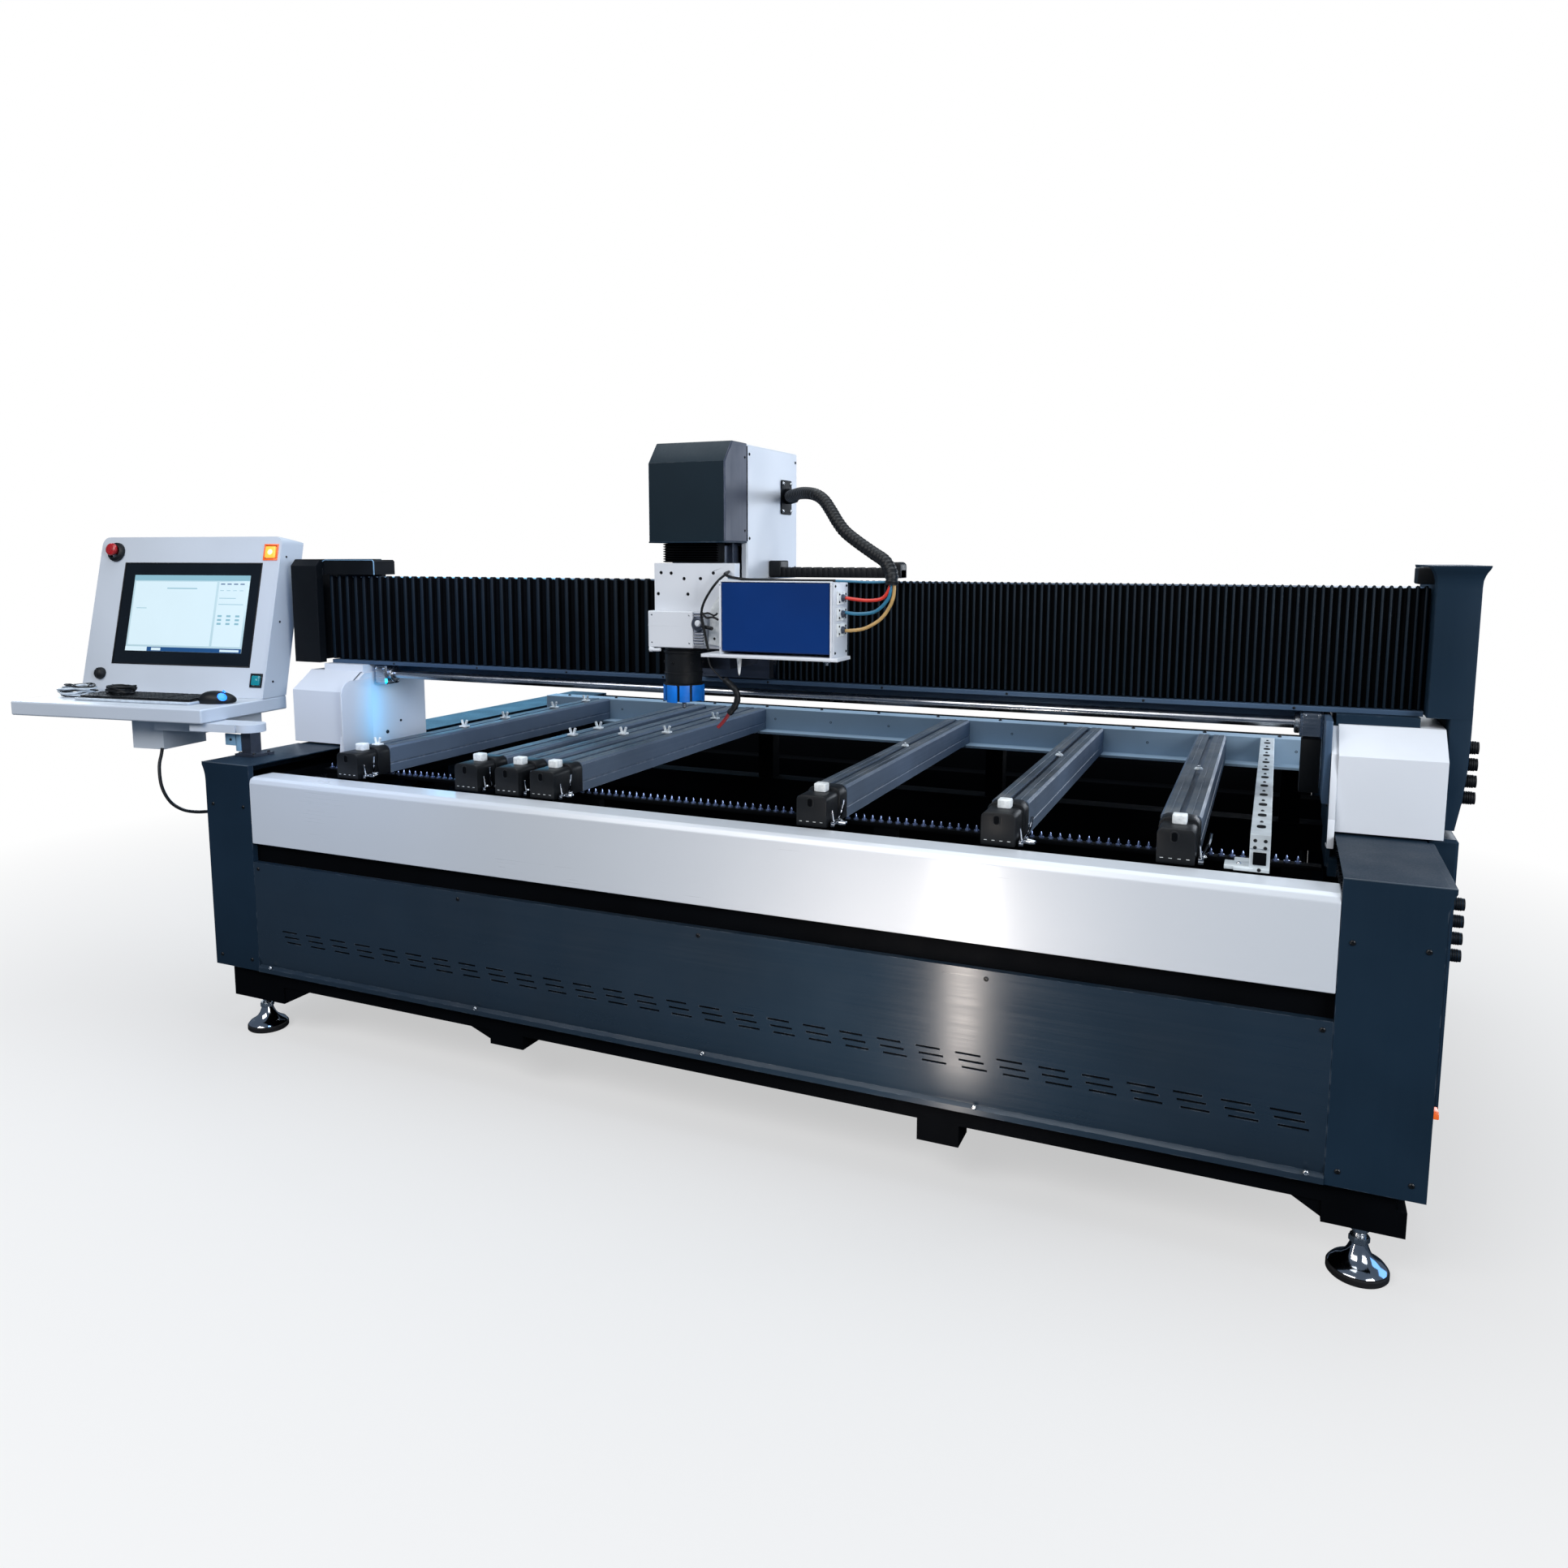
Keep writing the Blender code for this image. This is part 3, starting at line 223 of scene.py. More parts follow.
CHROME = material("chrome", (0.5, 0.52, 0.56), 0.1, metal=1.0, vary=0.06, scale=14.0, **LIT)
SCREW = material("black_screw", (0.01, 0.011, 0.013), 0.34, metal=0.4, vary=0.3, scale=60.0, peel=0.05)
ZINC = material("zinc_screw", (0.58, 0.6, 0.62), 0.26, metal=1.0, vary=0.15, scale=60.0)
PAD = material("white_pad", (0.8, 0.84, 0.85), 0.48, spec=0.45, vary=0.22, scale=60.0, peel=0.3,
    peel_scale=260.0)
SLATE_BEAM = material("slate_beam", (0.06, 0.105, 0.175), 0.36, metal=0.3, spec=0.4, vary=0.16, scale=3.0,
    peel=0.02, brush=(1.5, 1.5, 260.0), brush_amount=0.08, dust=0.05, **DARK_CHIPS)
BLUE = material("blue_case", (0.0012, 0.03, 0.16), 0.48, spec=0.14, vary=0.12, peel=0.06, peel_scale=600.0,
    wear=0.15, wear_colour=(0.1, 0.16, 0.35))
SKIRT = material("skirt_blue", (0.003, 0.16, 0.64), 0.4, spec=0.4, vary=0.2, scale=22.0, peel=0.1)
GLASS_BLACK = material("bezel_glass", (0.005, 0.008, 0.012), 0.16, spec=0.28, vary=0.2, coat=0.1, **LIT)
RED = material("red_plastic", (0.42, 0.008, 0.012), 0.26, peel=0.03, coat=0.3, **SMALL)
TEAL = material("teal_plastic", (0.006, 0.2, 0.24), 0.22, peel=0.02, coat=0.4, emit=(0.0, 0.2, 0.26),
    emit_strength=0.25, **SMALL)
# orange plastic with an emission that makes it glow though it is no lamp: painted glow on the lamp bezel and
# the power switch knob
ORANGE_RIM_PAINTED_GLOW = material("orange_rim_painted_glow", (0.62, 0.085, 0.01), 0.28, vary=0.12, scale=40.0, peel=0.02, coat=0.3,
    emit=(0.9, 0.16, 0.02), emit_strength=0.5)
GLOW = material("orange_glow", (0.95, 0.42, 0.06), 0.3, scale=60.0, emit=(1.0, 0.3, 0.03), emit_strength=1.1,
    **LIT)
GLOW_CORE = material("orange_glow_core", (1.0, 0.85, 0.45), 0.3, vary=0.05, scale=60.0,
    emit=(1.0, 0.62, 0.22), emit_strength=1.8, **LIT)
STUD = material("stud_steel", (0.3, 0.38, 0.62), 0.22, metal=0.85, vary=0.25, scale=60.0, peel=0.02)
SCALE = material("scale_plate", (0.66, 0.71, 0.73), 0.36, metal=0.35, vary=0.22, scale=14.0, peel=0.1,
    peel_scale=260.0, dust=0.15)
RED_CABLE = material("red_cable", (0.62, 0.03, 0.015), 0.42, vary=0.15, **STRAND)
DARK_RED = material("dark_red_end", (0.22, 0.01, 0.015), 0.45, vary=0.2, **STRAND)
TEAL_CABLE = material("teal_cable", (0.02, 0.16, 0.28), 0.42, vary=0.15, **STRAND)
TAN_CABLE = material("tan_cable", (0.48, 0.3, 0.11), 0.45, vary=0.15, **STRAND)
GREY_CABLE = material("grey_cable", (0.5, 0.56, 0.62), 0.42, vary=0.15, **STRAND)
# pale blue paint for the post bracket, also used for a painted highlight strip on the left end cover
PALE_BLUE_AND_HIGHLIGHT = material("pale_blue_paint_and_painted_highlight", (0.22, 0.4, 0.56), 0.4, scale=12.0, peel=0.05)
MOUSE_LIGHT = material("mouse_light", (0.02, 0.12, 0.6), 0.25, scale=90.0, emit=(0.02, 0.2, 1.0),
    emit_strength=2.0, **LIT)
SCREEN = material("screen_lit", (0.2, 0.26, 0.28), 0.2, vary=0.03, scale=3.0, emit=(0.6, 0.84, 0.93),
    emit_strength=0.55, **LIT)
UI_PALE = material("screen_white", (0.22, 0.26, 0.28), 0.2, vary=0.03, scale=9.0, emit=(0.72, 0.9, 0.97),
    emit_strength=0.72, **LIT)
UI_CYAN = material("screen_cyan", (0.1, 0.17, 0.2), 0.2, vary=0.05, scale=9.0, emit=(0.36, 0.7, 0.84),
    emit_strength=0.5, **LIT)
UI_DARK = material("screen_navy", (0.01, 0.05, 0.14), 0.2, scale=30.0, emit=(0.01, 0.06, 0.18),
    emit_strength=0.6, **LIT)


# ---- mesh tools
def aim(at, axis):
    """Matrix that puts +Z along axis at a point."""
    turn = Vector(axis).normalized().to_track_quat("Z", "Y").to_matrix().to_4x4()
    return Matrix.Translation(at) @ turn


class Piece:
    """A mesh under construction. Each call adds a closed shape, m is the index of its material."""

    def __init__(self, name, body, *mats, axes=MACHINE):
        self.name, self.body, self.mats, self.axes = name, body, mats, axes
        self.bm = bmesh.new()

    def absorb(self, bm, m=0, place=None):
        if place is not None:
            bmesh.ops.transform(bm, matrix=place, verts=bm.verts)
        if m is not None:
            for face in bm.faces:
                face.material_index = m
        mesh = bpy.data.meshes.new("absorbed")
        bm.to_mesh(mesh)
        bm.free()
        self.bm.from_mesh(mesh)
        bpy.data.meshes.remove(mesh)
        return self

    def box(self, low, high, edge=0.001, m=0, place=None, segments=2):
        low, high = Vector(low), Vector(high)
        bm = bmesh.new()
        size = high - low
        bmesh.ops.create_cube(bm, size=1, matrix=Matrix.Translation((low + high) / 2)
            @ Matrix.Diagonal((size.x, size.y, size.z, 1)))
        if edge:
            bmesh.ops.bevel(bm, geom=list(bm.edges), offset=edge, segments=segments, profile=0.5,
                affect="EDGES")
        return self.absorb(bm, m, place)

    def prism(self, points, axis, start, stop, edge=0, m=0, place=None, segments=2):
        """A flat outline drawn across an axis, drawn out from start to stop."""
        bm = bmesh.new()

        def at(a, b, c):
            return {"X": (c, a, b), "Y": (a, c, b), "Z": (a, b, c)}[axis]

        near = [bm.verts.new(at(a, b, start)) for a, b in points]
        far = [bm.verts.new(at(a, b, stop)) for a, b in points]
        bm.faces.new(near)
        bm.faces.new(far[::-1])
        for i in range(len(points)):
            j = (i + 1) % len(points)
            bm.faces.new((near[j], near[i], far[i], far[j]))
        bmesh.ops.recalc_face_normals(bm, faces=bm.faces)
        if edge:
            sharp = [e for e in bm.edges if e.calc_face_angle(0) > math.radians(32)]
            bmesh.ops.bevel(bm, geom=sharp, offset=edge, segments=segments, profile=0.5, affect="EDGES")
        return self.absorb(bm, m, place)

    def turn(self, profile, at, axis=UP, sides=28, m=0, place=None):
        """A turned shape from (radius, height) or (radius, height, corners) along an axis."""
        bm = bmesh.new()
        rings = []
        for entry in profile:
            radius, height = entry[0], entry[1]
            corners = entry[2] if len(entry) > 2 else 0
            if radius == 0:
                rings.append([bm.verts.new((0, 0, height))])
                continue
            ring = []
            for i in range(sides):
                angle = 2 * math.pi * i / sides
                reach = radius
                if corners:
                    sector = 2 * math.pi / corners
                    reach = radius * math.cos(sector / 2) / math.cos(angle % sector - sector / 2)
                ring.append(bm.verts.new((reach * math.cos(angle), reach * math.sin(angle), height)))
            rings.append(ring)
        for first, second in zip(rings, rings[1:]):
            for i in range(sides):
                j = (i + 1) % sides
                if len(first) == 1:
                    bm.faces.new((first[0], second[i], second[j]))
                elif len(second) == 1:
                    bm.faces.new((first[i], first[j], second[0]))
                else:
                    bm.faces.new((first[i], first[j], second[j], second[i]))
        bmesh.ops.recalc_face_normals(bm, faces=bm.faces)
        bmesh.ops.transform(bm, matrix=aim(at, axis), verts=bm.verts)
        return self.absorb(bm, m, place)

    def rod(self, a, b, radius, edge=0.0008, sides=24, m=0, place=None, tip=None):
        a, b = Vector(a), Vector(b)
        length = (b - a).length
        tip = radius if tip is None else tip
        profile = ((0, 0), (radius - edge, 0), (radius, edge), (tip, length - edge), (tip - edge, length),
            (0, length))
        return self.turn(profile, a, b - a, sides, m, place)

    def bolt(self, at, axis, radius, height=None, m=0, dome=False, place=None):
        """Socket-head screw, or a domed one, with a hexagon recess."""
        h = height or radius * 0.8
        hexagon = radius * 0.55
        shoulder = ((radius, h * 0.72), (radius * 0.86, h)) if not dome else ((radius * 0.94, h * 0.45),
            (radius * 0.72, h * 0.86), (radius * 0.6, h))
        profile = ((0, -0.0005), (radius, -0.0005)) + shoulder + ((hexagon, h, 6), (hexagon, h * 0.4, 6),
            (0, h * 0.35))
        return self.turn(profile, at, axis, 18, m, place)

    def dome(self, at, axis, radius, height, m=0):
        return self.bolt(at, axis, radius, height, m, True)

    def tube(self, points, radius, sides=10, m=0, ribs=0, step=0.008, place=None):
        """A cable along a smooth path through points; ribs makes it corrugated."""
        dense = smooth_path([Vector(p) for p in points], step)
        bm = bmesh.new()
        rings = []
        tangent = (dense[1] - dense[0]).normalized()
        side = tangent.orthogonal().normalized()
        for i, here in enumerate(dense):
            ahead = dense[min(i + 1, len(dense) - 1)] - dense[max(i - 1, 0)]
            tangent = ahead.normalized()
            side = (side - tangent * side.dot(tangent)).normalized()
            other = tangent.cross(side)
            reach = radius * (1 + (ribs if i % 4 in (0, 1) else 0))
            rings.append([bm.verts.new(here + reach * (math.cos(t) * side + math.sin(t) * other))
                for t in (2 * math.pi * k / sides for k in range(sides))])
        for first, second in zip(rings, rings[1:]):
            for k in range(sides):
                n = (k + 1) % sides
                bm.faces.new((first[k], first[n], second[n], second[k]))
        bm.faces.new(rings[0][::-1])
        bm.faces.new(rings[-1])
        bmesh.ops.recalc_face_normals(bm, faces=bm.faces)
        return self.absorb(bm, m, place)

    def loft(self, sections, m=0, place=None):
        """A skin through closed outlines with the same number of points, capped at both ends."""
        bm = bmesh.new()
        rings = [[bm.verts.new(point) for point in section] for section in sections]
        for first, second in zip(rings, rings[1:]):
            for i in range(len(first)):
                j = (i + 1) % len(first)
                bm.faces.new((first[i], first[j], second[j], second[i]))
        bm.faces.new(rings[0][::-1])
        bm.faces.new(rings[-1])
        bmesh.ops.recalc_face_normals(bm, faces=bm.faces)
        return self.absorb(bm, m, place)

    def done(self, stands_for=(), sharp=35, blend=None):
        mesh = bpy.data.meshes.new(self.name)
        self.bm.to_mesh(mesh)
        self.bm.free()
        mesh.transform(self.axes)
        mesh.shade_smooth()
        mesh.set_sharp_from_angle(angle=math.radians(sharp))
        for mat in self.mats:
            mesh.materials.append(mat)
        obj = bpy.data.objects.new(self.name, mesh)
        bpy.context.scene.collection.objects.link(obj)
        if blend:
            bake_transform(obj)
        else:
            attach(obj, self.body)
        if stands_for:
            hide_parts(*stands_for)
        return obj


def capped(*profile):
    """A turned profile closed to the axis, flat at both ends."""
    return ((0, profile[0][1]), *profile, (0, profile[-1][1]))


def smooth_path(points, step):
    """Catmull-Rom path through points, resampled at about the given step."""
    dense = [points[0]]
    padded = [points[0] * 2 - points[1]] + points + [points[-1] * 2 - points[-2]]
    for a, b, c, d in zip(padded, padded[1:], padded[2:], padded[3:]):
        parts = max(2, round((c - b).length / step))
        for i in range(1, parts + 1):
            t = i / parts
            dense.append(0.5 * (2 * b + (c - a) * t + (2 * a - 5 * b + 4 * c - d) * t * t
                + (3 * b - a - 3 * c + d) * t ** 3))
    return dense


def rounded(low, high, radius, corners=(1, 1, 1, 1), steps=5):
    """Outline of a rectangle with rounded corners, from the lower left one anticlockwise."""
    (a0, b0), (a1, b1) = low, high
    points = []
    for number, (a, b, start) in enumerate(((a0, b0, 180), (a1, b0, 270), (a1, b1, 0), (a0, b1, 90))):
        if not corners[number]:
            points.append((a, b))
            continue
        ca = a + (radius if a == a0 else -radius)
        cb = b + (radius if b == b0 else -radius)
        for i in range(steps + 1):
            angle = math.radians(start + 90 * i / steps)
            points.append((ca + radius * math.cos(angle), cb + radius * math.sin(angle)))
    return points


def dress(mat, *names, bevel=0, segments=2, angle=30, slot=None):
    """Give CAD nodes their finish, with softened edges where the real piece has them."""
    for name in names:
        obj = NODES[name]
        mesh = obj.data
        mesh.materials.clear()
        mesh.materials.append(mat)
        if "custom_normal" in mesh.attributes:
            mesh.attributes.remove(mesh.attributes["custom_normal"])
        weld = obj.modifiers.new("weld", "WELD")
        weld.merge_threshold = 0.00002
        mesh.shade_smooth()
        if bevel:
            edges = obj.modifiers.new("edges", "BEVEL")
            edges.width = bevel
            edges.segments = segments
            edges.limit_method = "ANGLE"
            edges.angle_limit = math.radians(angle)
            edges.harden_normals = True
        else:
            split = obj.modifiers.new("split", "EDGE_SPLIT")
            split.split_angle = math.radians(angle)


# ---- carried-over CAD nodes
# frame, tray and rear panel take the darker black copy: painted shade inside the base
dress(BLACK_IN_SHADE, "base_frame", "bed_tray", "rear_panel")
dress(BLACK, "end_cover_left", bevel=0.0015)
dress(FASCIA, "front_fascia", bevel=0.0035, segments=3, angle=15)
dress(SLATE, "front_lower_panel")
dress(SLATE_UP, "side_casing_left", "side_casing_right", bevel=0.0015)
dress(SLATE_UP, "side_cabinet_right", bevel=0.0015)
dress(SLATE_BEAM, "gantry_beam", bevel=0.0015)
# the right leg blade takes the dark slate paint where the left blade is light: painted shade on the blade
# turned from the light
dress(SLATE_UP, "gantry_leg_right", bevel=0.001)
dress(LIGHT, "gantry_leg_left", bevel=0.001)
dress(LIGHT, "leg_cover_left", "leg_cover_right", "z_plate", "spindle_clamp", bevel=0.0012)
dress(HOOD, "head_cover", bevel=0.0012)
hood_mesh = NODES["head_cover"].data
hood_mesh.materials.append(HOOD_SIDE_PAINTED_LIGHT)
# faces turned to +X take the lighter copy: painted light
for face in hood_mesh.polygons:
    if face.normal.x > 0.6:
        face.material_index = 1
dress(LIGHT, "head_box", "driver_frame", bevel=0.0008)
dress(CONSOLE_GREY, "console_housing", bevel=0.006, segments=3, angle=40)
dress(CONSOLE_GREY, "console_shelf", "console_bracket", bevel=0.002)
dress(BLACK_PLASTIC, "spindle_body")
dress(BLUE, "driver_box", bevel=0.0008)
dress(STEEL, "y_rail_left", "y_rail_right", "x_rail_upper", "x_rail_lower", "sync_shaft", "spindle_tool")
dress(STEEL, "shaft_bearing_left", "shaft_bearing_right", bevel=0.0008)
dress(SCALE, "scale_bar", bevel=0.0008)
dress(RAIL, "rear_rail", bevel=0.0015)
dress(DARK_STEEL, "saddle", "console_post")
dress(GLASS_BLACK, "console_screen")

# ---- support bars
BAR_HALF = 0.044
BAR_X = [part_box(f"support_bar_{n}")[0].x + BAR_HALF - X0 for n in range(1, 8)]
BAR_LOW, BAR_HIGH = 0.817, 0.898
BLOCK_Y = (0.1, 0.185, 0.235)
BAR_END = 1.4935
PIN_Y = ((0.23, 0.64, 0.863, 1.166, 1.384), (0.636, 0.79), (0.72,), (0.8, 1.15), (0.868,), (0.891,),
    (0.826,))
FIRST_ROUND_PAD = 5


def bar_section(x):
    """Extruded section with a T-slot, two lip grooves and stepped sides."""
    h, t = BAR_HALF, BAR_HIGH
    right = [(0.007, t), (0.007, t - 0.005), (0.013, t - 0.005), (0.013, t - 0.013)]
    lip = [(0.021, t), (0.0215, t - 0.0012), (0.024, t - 0.0012), (0.0245, t), (h - 0.006, t),
        (h, t - 0.006), (h, BAR_LOW + 0.03), (h - 0.0015, BAR_LOW + 0.0285), (h - 0.0015, BAR_LOW + 0.0255),
        (h, BAR_LOW + 0.024), (h, BAR_LOW)]
    half = [(a, b) for a, b in right[::-1] + lip]
    return [(x - a, b) for a, b in half[::-1]] + [(x + a, b) for a, b in half]


def tombstone(half, low, high, radius, x):
    return [(x + a, b) for a, b in rounded((-half, low), (half, high), radius, (0, 0, 1, 1))]


for number, x in enumerate(BAR_X, 1):
    body = f"bar_{number}"
    bar = Piece(f"{body}_profile", body, BAR, BAR_TOP)
    bar.prism(bar_section(x), "Y", BLOCK_Y[2] - 0.001, BAR_END, 0, 0)
    for face in bar.bm.faces:
        if face.normal.z > 0.9 and face.calc_center_median().z > BAR_HIGH - 0.002:
            face.material_index = 1
    bar.done((f"support_bar_{number}",), sharp=20)

    block = Piece(f"{body}_end_block", body, BLACK_PLASTIC, BLACK_IN_SHADE, PAD)
    block.prism(tombstone(0.0395, BAR_LOW, 0.8935, 0.013, x), "Y", BLOCK_Y[0], BLOCK_Y[1], 0.0018)
    block.prism(tombstone(0.0435, BAR_LOW + 0.0002, 0.9005, 0.02, x), "Y", BLOCK_Y[1] - 0.001, BLOCK_Y[2],
        0.0018)
    slot_at = rounded((-0.006, -0.01), (0.006, 0.01), 0.0055)
    ring = [(x - 0.003 + a * 1.45, 0.8765 + b * 1.25) for a, b in slot_at]
    block.prism(ring, "Y", BLOCK_Y[0] - 0.0012, BLOCK_Y[0] + 0.002, 0.0005)
    # the slot inside the ring takes the darker black copy: painted shade in the recess
    block.prism([(x - 0.003 + a, 0.8765 + b) for a, b in slot_at], "Y", BLOCK_Y[0] - 0.0016,
        BLOCK_Y[0] + 0.002, 0, 1)
    for dx in (-0.028, -0.01, 0.008, 0.026):
        block.box((x + dx - 0.0035, BLOCK_Y[0] - 0.0006, 0.8285),
            (x + dx + 0.0035, BLOCK_Y[0] + 0.002, 0.8296), 0.0003, 2)
    block.done()

    fittings = Piece(f"{body}_fittings", body, PAD, CHROME, ZINC)
    px = x + 0.002
    fittings.box((px - 0.0155, 0.15, 0.893), (px + 0.0155, 0.178, 0.915), 0.0035, 0, segments=3)
    for a, b in ((-0.008, 0.902), (0.008, 0.902), (-0.008, 0.91), (0.008, 0.91), (0, 0.906)):
        fittings.turn(((0, 0), (0.0026, 0), (0.0018, 0.0008), (0, 0.001)), (px + a, 0.1505, b), SOUTH, 8, 0)
    for y in PIN_Y[number - 1]:
        if number >= FIRST_ROUND_PAD:
            fittings.turn(((0, 0), (0.011, 0), (0.0115, 0.002), (0.0085, 0.006), (0, 0.0085)),
                (x, y, BAR_HIGH), UP, 20, 0)
            fittings.turn(((0, 0), (0.0045, 0), (0.0045, 0.01), (0.003, 0.0115), (0, 0.012)),
                (x, y, BAR_HIGH), UP, 14, 2)
            continue
        fittings.box((x - 0.014, y - 0.012, BAR_HIGH), (x + 0.014, y + 0.012, BAR_HIGH + 0.006), 0.002, 0)
        for side in (-1, 1):
            fittings.rod((x + side * 0.004, y, BAR_HIGH + 0.004), (x + side * 0.011, y, BAR_HIGH + 0.024),
                0.0042, 0.0012, 12, 0)
    base_x = x + BAR_HALF + 0.001
    # shorter where the next bar or the scale bar stands close
    reach = {2: 0.45, 3: 0.45, 7: 0.95}.get(number, 1)
    fittings.box((base_x, 0.112, BAR_LOW + 0.001), (base_x + 0.012, 0.168, BAR_LOW + 0.013), 0.0015, 1)
    fittings.rod((base_x + 0.006, 0.122, BAR_LOW + 0.01), (base_x + 0.003, 0.118, BAR_LOW + 0.042), 0.003,
        0.001, 12, 1, tip=0.002)
    fittings.tube([(base_x + 0.006, 0.15, BAR_LOW + 0.012), (base_x + 0.014 * reach, 0.146, BAR_LOW + 0.026),
        (base_x + 0.022 * reach, 0.14, BAR_LOW + 0.046), (base_x + 0.025 * reach, 0.138, BAR_LOW + 0.066)],
        0.0032, 10, 1, step=0.004)
    stub = 0.3 if number in (2, 3, 7) else 1
    fittings.turn(((0, -0.019 * stub), (0.005, -0.017 * stub), (0.0078, -0.008 * stub),
        (0.0082, 0.004 * stub), (0.0055, 0.015 * stub), (0, 0.018 * stub)),
        (base_x + 0.022 * stub, 0.128, BAR_LOW + 0.009), (1, -0.15, 0.03), 16, 1)
    fittings.bolt((base_x + 0.0122, 0.158, BAR_LOW + 0.007), EAST, 0.004, 0.003, 2)
    fittings.done()

# ---- bed: rack of studs, rail, scale bar
RACK_Y, STUD_PITCH = 0.285, 0.0225
rack = Piece("rack_studs", "base", BLACK_IN_SHADE, STUD)
rack_low, rack_high = (corner.x - X0 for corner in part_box("front_rack"))
# the strip under the studs takes the darker black copy: painted shade
rack.box((rack_low, RACK_Y - 0.015, 0.79), (rack_high, RACK_Y + 0.015, 0.7995), 0.001)
for i in range(int((rack_high - rack_low - 0.03) / STUD_PITCH)):
    x = rack_low + 0.02 + i * STUD_PITCH
    rack.turn(((0, 0), (0.007, 0, 6), (0.007, 0.0045, 6), (0.0034, 0.0052), (0.0028, 0.012), (0.001, 0.0165),
        (0, 0.0168)), (x, RACK_Y, 0.7993), UP, 12, 1)
rack.done(("front_rack",), sharp=30)

rail = Piece("rail_fixings", "base", SCREW)
for i in range(13):
    x = 0.3 + i * 0.225
    rail.bolt((x, 1.53, 0.897), UP, 0.006, 0.004)
    rail.bolt((x + 0.05, 1.4966, 0.858), SOUTH, 0.0045, 0.003)
rail.done()

SCALE_X, FOOT_LEFT = 2.965, 2.8965
scale = Piece("scale_bar_fixings", "base", ZINC, BLACK_IN_SHADE, SCALE, SCREW)
for i in range(11):
    y = 0.18 + i * 0.12
    # dark slots in the darker black copy stand for the shade in the scale bar's holes: painted shade
    scale.prism(rounded((2.956, y - 0.016), (2.974, y + 0.016), 0.0088), "Z", 0.8965, 0.8984, 0, 1)
    scale.dome((SCALE_X, y + 0.045, 0.898), UP, 0.004, 0.003, 3)
scale.box((FOOT_LEFT, 0.1035, 0.8175), (SCALE_X + 0.02, 0.15, 0.8265), 0.0015, 2)
# a small dark plate in the darker black copy: painted shade
scale.box((2.952, 0.0992, 0.833), (2.978, 0.102, 0.86), 0.001, 1)
for z in (0.87, 0.885):
    for dx in (-0.01, 0.01):
        scale.dome((SCALE_X + dx, 0.1, z), SOUTH, 0.004, 0.0012, 3)
scale.dome((SCALE_X, 0.1, 0.8225), SOUTH, 0.004, 0.0015, 3)
scale.dome((2.925, 0.126, 0.8265), UP, 0.005, 0.0035)
scale.done()

# ---- front panel: a dark sheet behind the vents as painted shade, screws, casing lips with a painted edge highlight
# a dark sheet just behind the vent slots: painted shade seen through them
shade_sheet = Piece("vent_painted_shade_sheet", "base", BLACK_IN_SHADE)
shade_sheet.box((0.19, 0.003, 0.27), (3.11, 0.005, 0.41), 0)
shade_sheet.done()

screws = Piece("front_screws", "base", SCREW, ZINC)
for x in (0.231, 0.999, 1.706, 2.4, 3.084):
    screws.dome((x, -0.0038, 0.231), (0, -1, 0.1), 0.0062, 0.0035, 1)
for x in (0.201, 0.95, 1.695, 2.42, 3.098):
    screws.dome((x, 0, 0.536), SOUTH, 0.0058, 0.003)
for x in (0.028, 0.154, 3.141, 3.272):
    for z in (0.245, 0.722):
        screws.dome((x, 0, z), SOUTH, 0.0058, 0.003)
screws.done()

fills = Piece("casing_lips_and_edge_highlight", "base", SLATE_UP, BAR_TOP)
for side in (0, 1):
    x = 0 if side == 0 else BASE_LENGTH
    sign = -1 if side == 0 else 1
    cove = [(x - sign * 0.0005, 0.79)]
    for i in range(9):
        t = i / 8
        cove.append((x + sign * (0.0004 + 0.0115 * t * t), 0.795 + 0.045 * t))
    cove += [(x + sign * 0.0119, 0.8445), (x - sign * 0.0005, 0.8445)]
    fills.prism(cove, "Y", 0.0005, 0.3795, 0)
    # the thin strip of bar-top material along each casing's front top edge is a painted edge highlight
    low, high = sorted((x + sign * 0.0119, x - sign * 0.182))
    fills.box((low, -0.0004, 0.8482), (high, 0.003, 0.8508), 0.0008, 1)
fills.done()

# ---- levelling feet
for corner in ("front_left", "front_right", "rear_left", "rear_right"):
    low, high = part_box(f"foot_{corner}")
    at = ((low.x + high.x) / 2 - X0, (low.y + high.y) / 2 - Y0, 0)
    foot = Piece(f"levelling_foot_{corner}", "base", CHROME, RUBBER, ZINC)
    foot.turn(capped((0.0575, 0.0002), (0.06, 0.003), (0.06, 0.0135), (0.0585, 0.016)), at, UP, 48, 1)
    foot.turn(((0, 0.015), (0.056, 0.015), (0.057, 0.018), (0.053, 0.023), (0.043, 0.029), (0.032, 0.037),
        (0.024, 0.048), (0.019, 0.06), (0.0165, 0.068), (0, 0.069)), at, UP, 48, 0)
    foot.turn(capped((0.019, 0.068, 6), (0.0205, 0.07, 6), (0.0205, 0.08, 6), (0.0185, 0.0825)), at, UP, 24,
        2)
    thread = [(0, 0.082)]
    for i in range(24):
        thread += [(0.0118, 0.0822 + i * 0.0042), (0.0128, 0.0843 + i * 0.0042)]
    foot.turn(thread + [(0, 0.185)], at, UP, 24, 2)
    foot.turn(capped((0.0195, 0.095, 6), (0.0205, 0.0965, 6), (0.0205, 0.107, 6), (0.019, 0.1088, 6)), at,
        UP, 24, 2)
    foot.done((f"foot_{corner}",), sharp=28)

# ---- bellows
BELLOWS_FRONT = 0.516
BELLOWS_Z = (1.1255, 1.405)
STOPS = (0, 0.005, 0.03, 0.1, 0.3, 0.7, 0.9, 0.97, 0.995, 1)


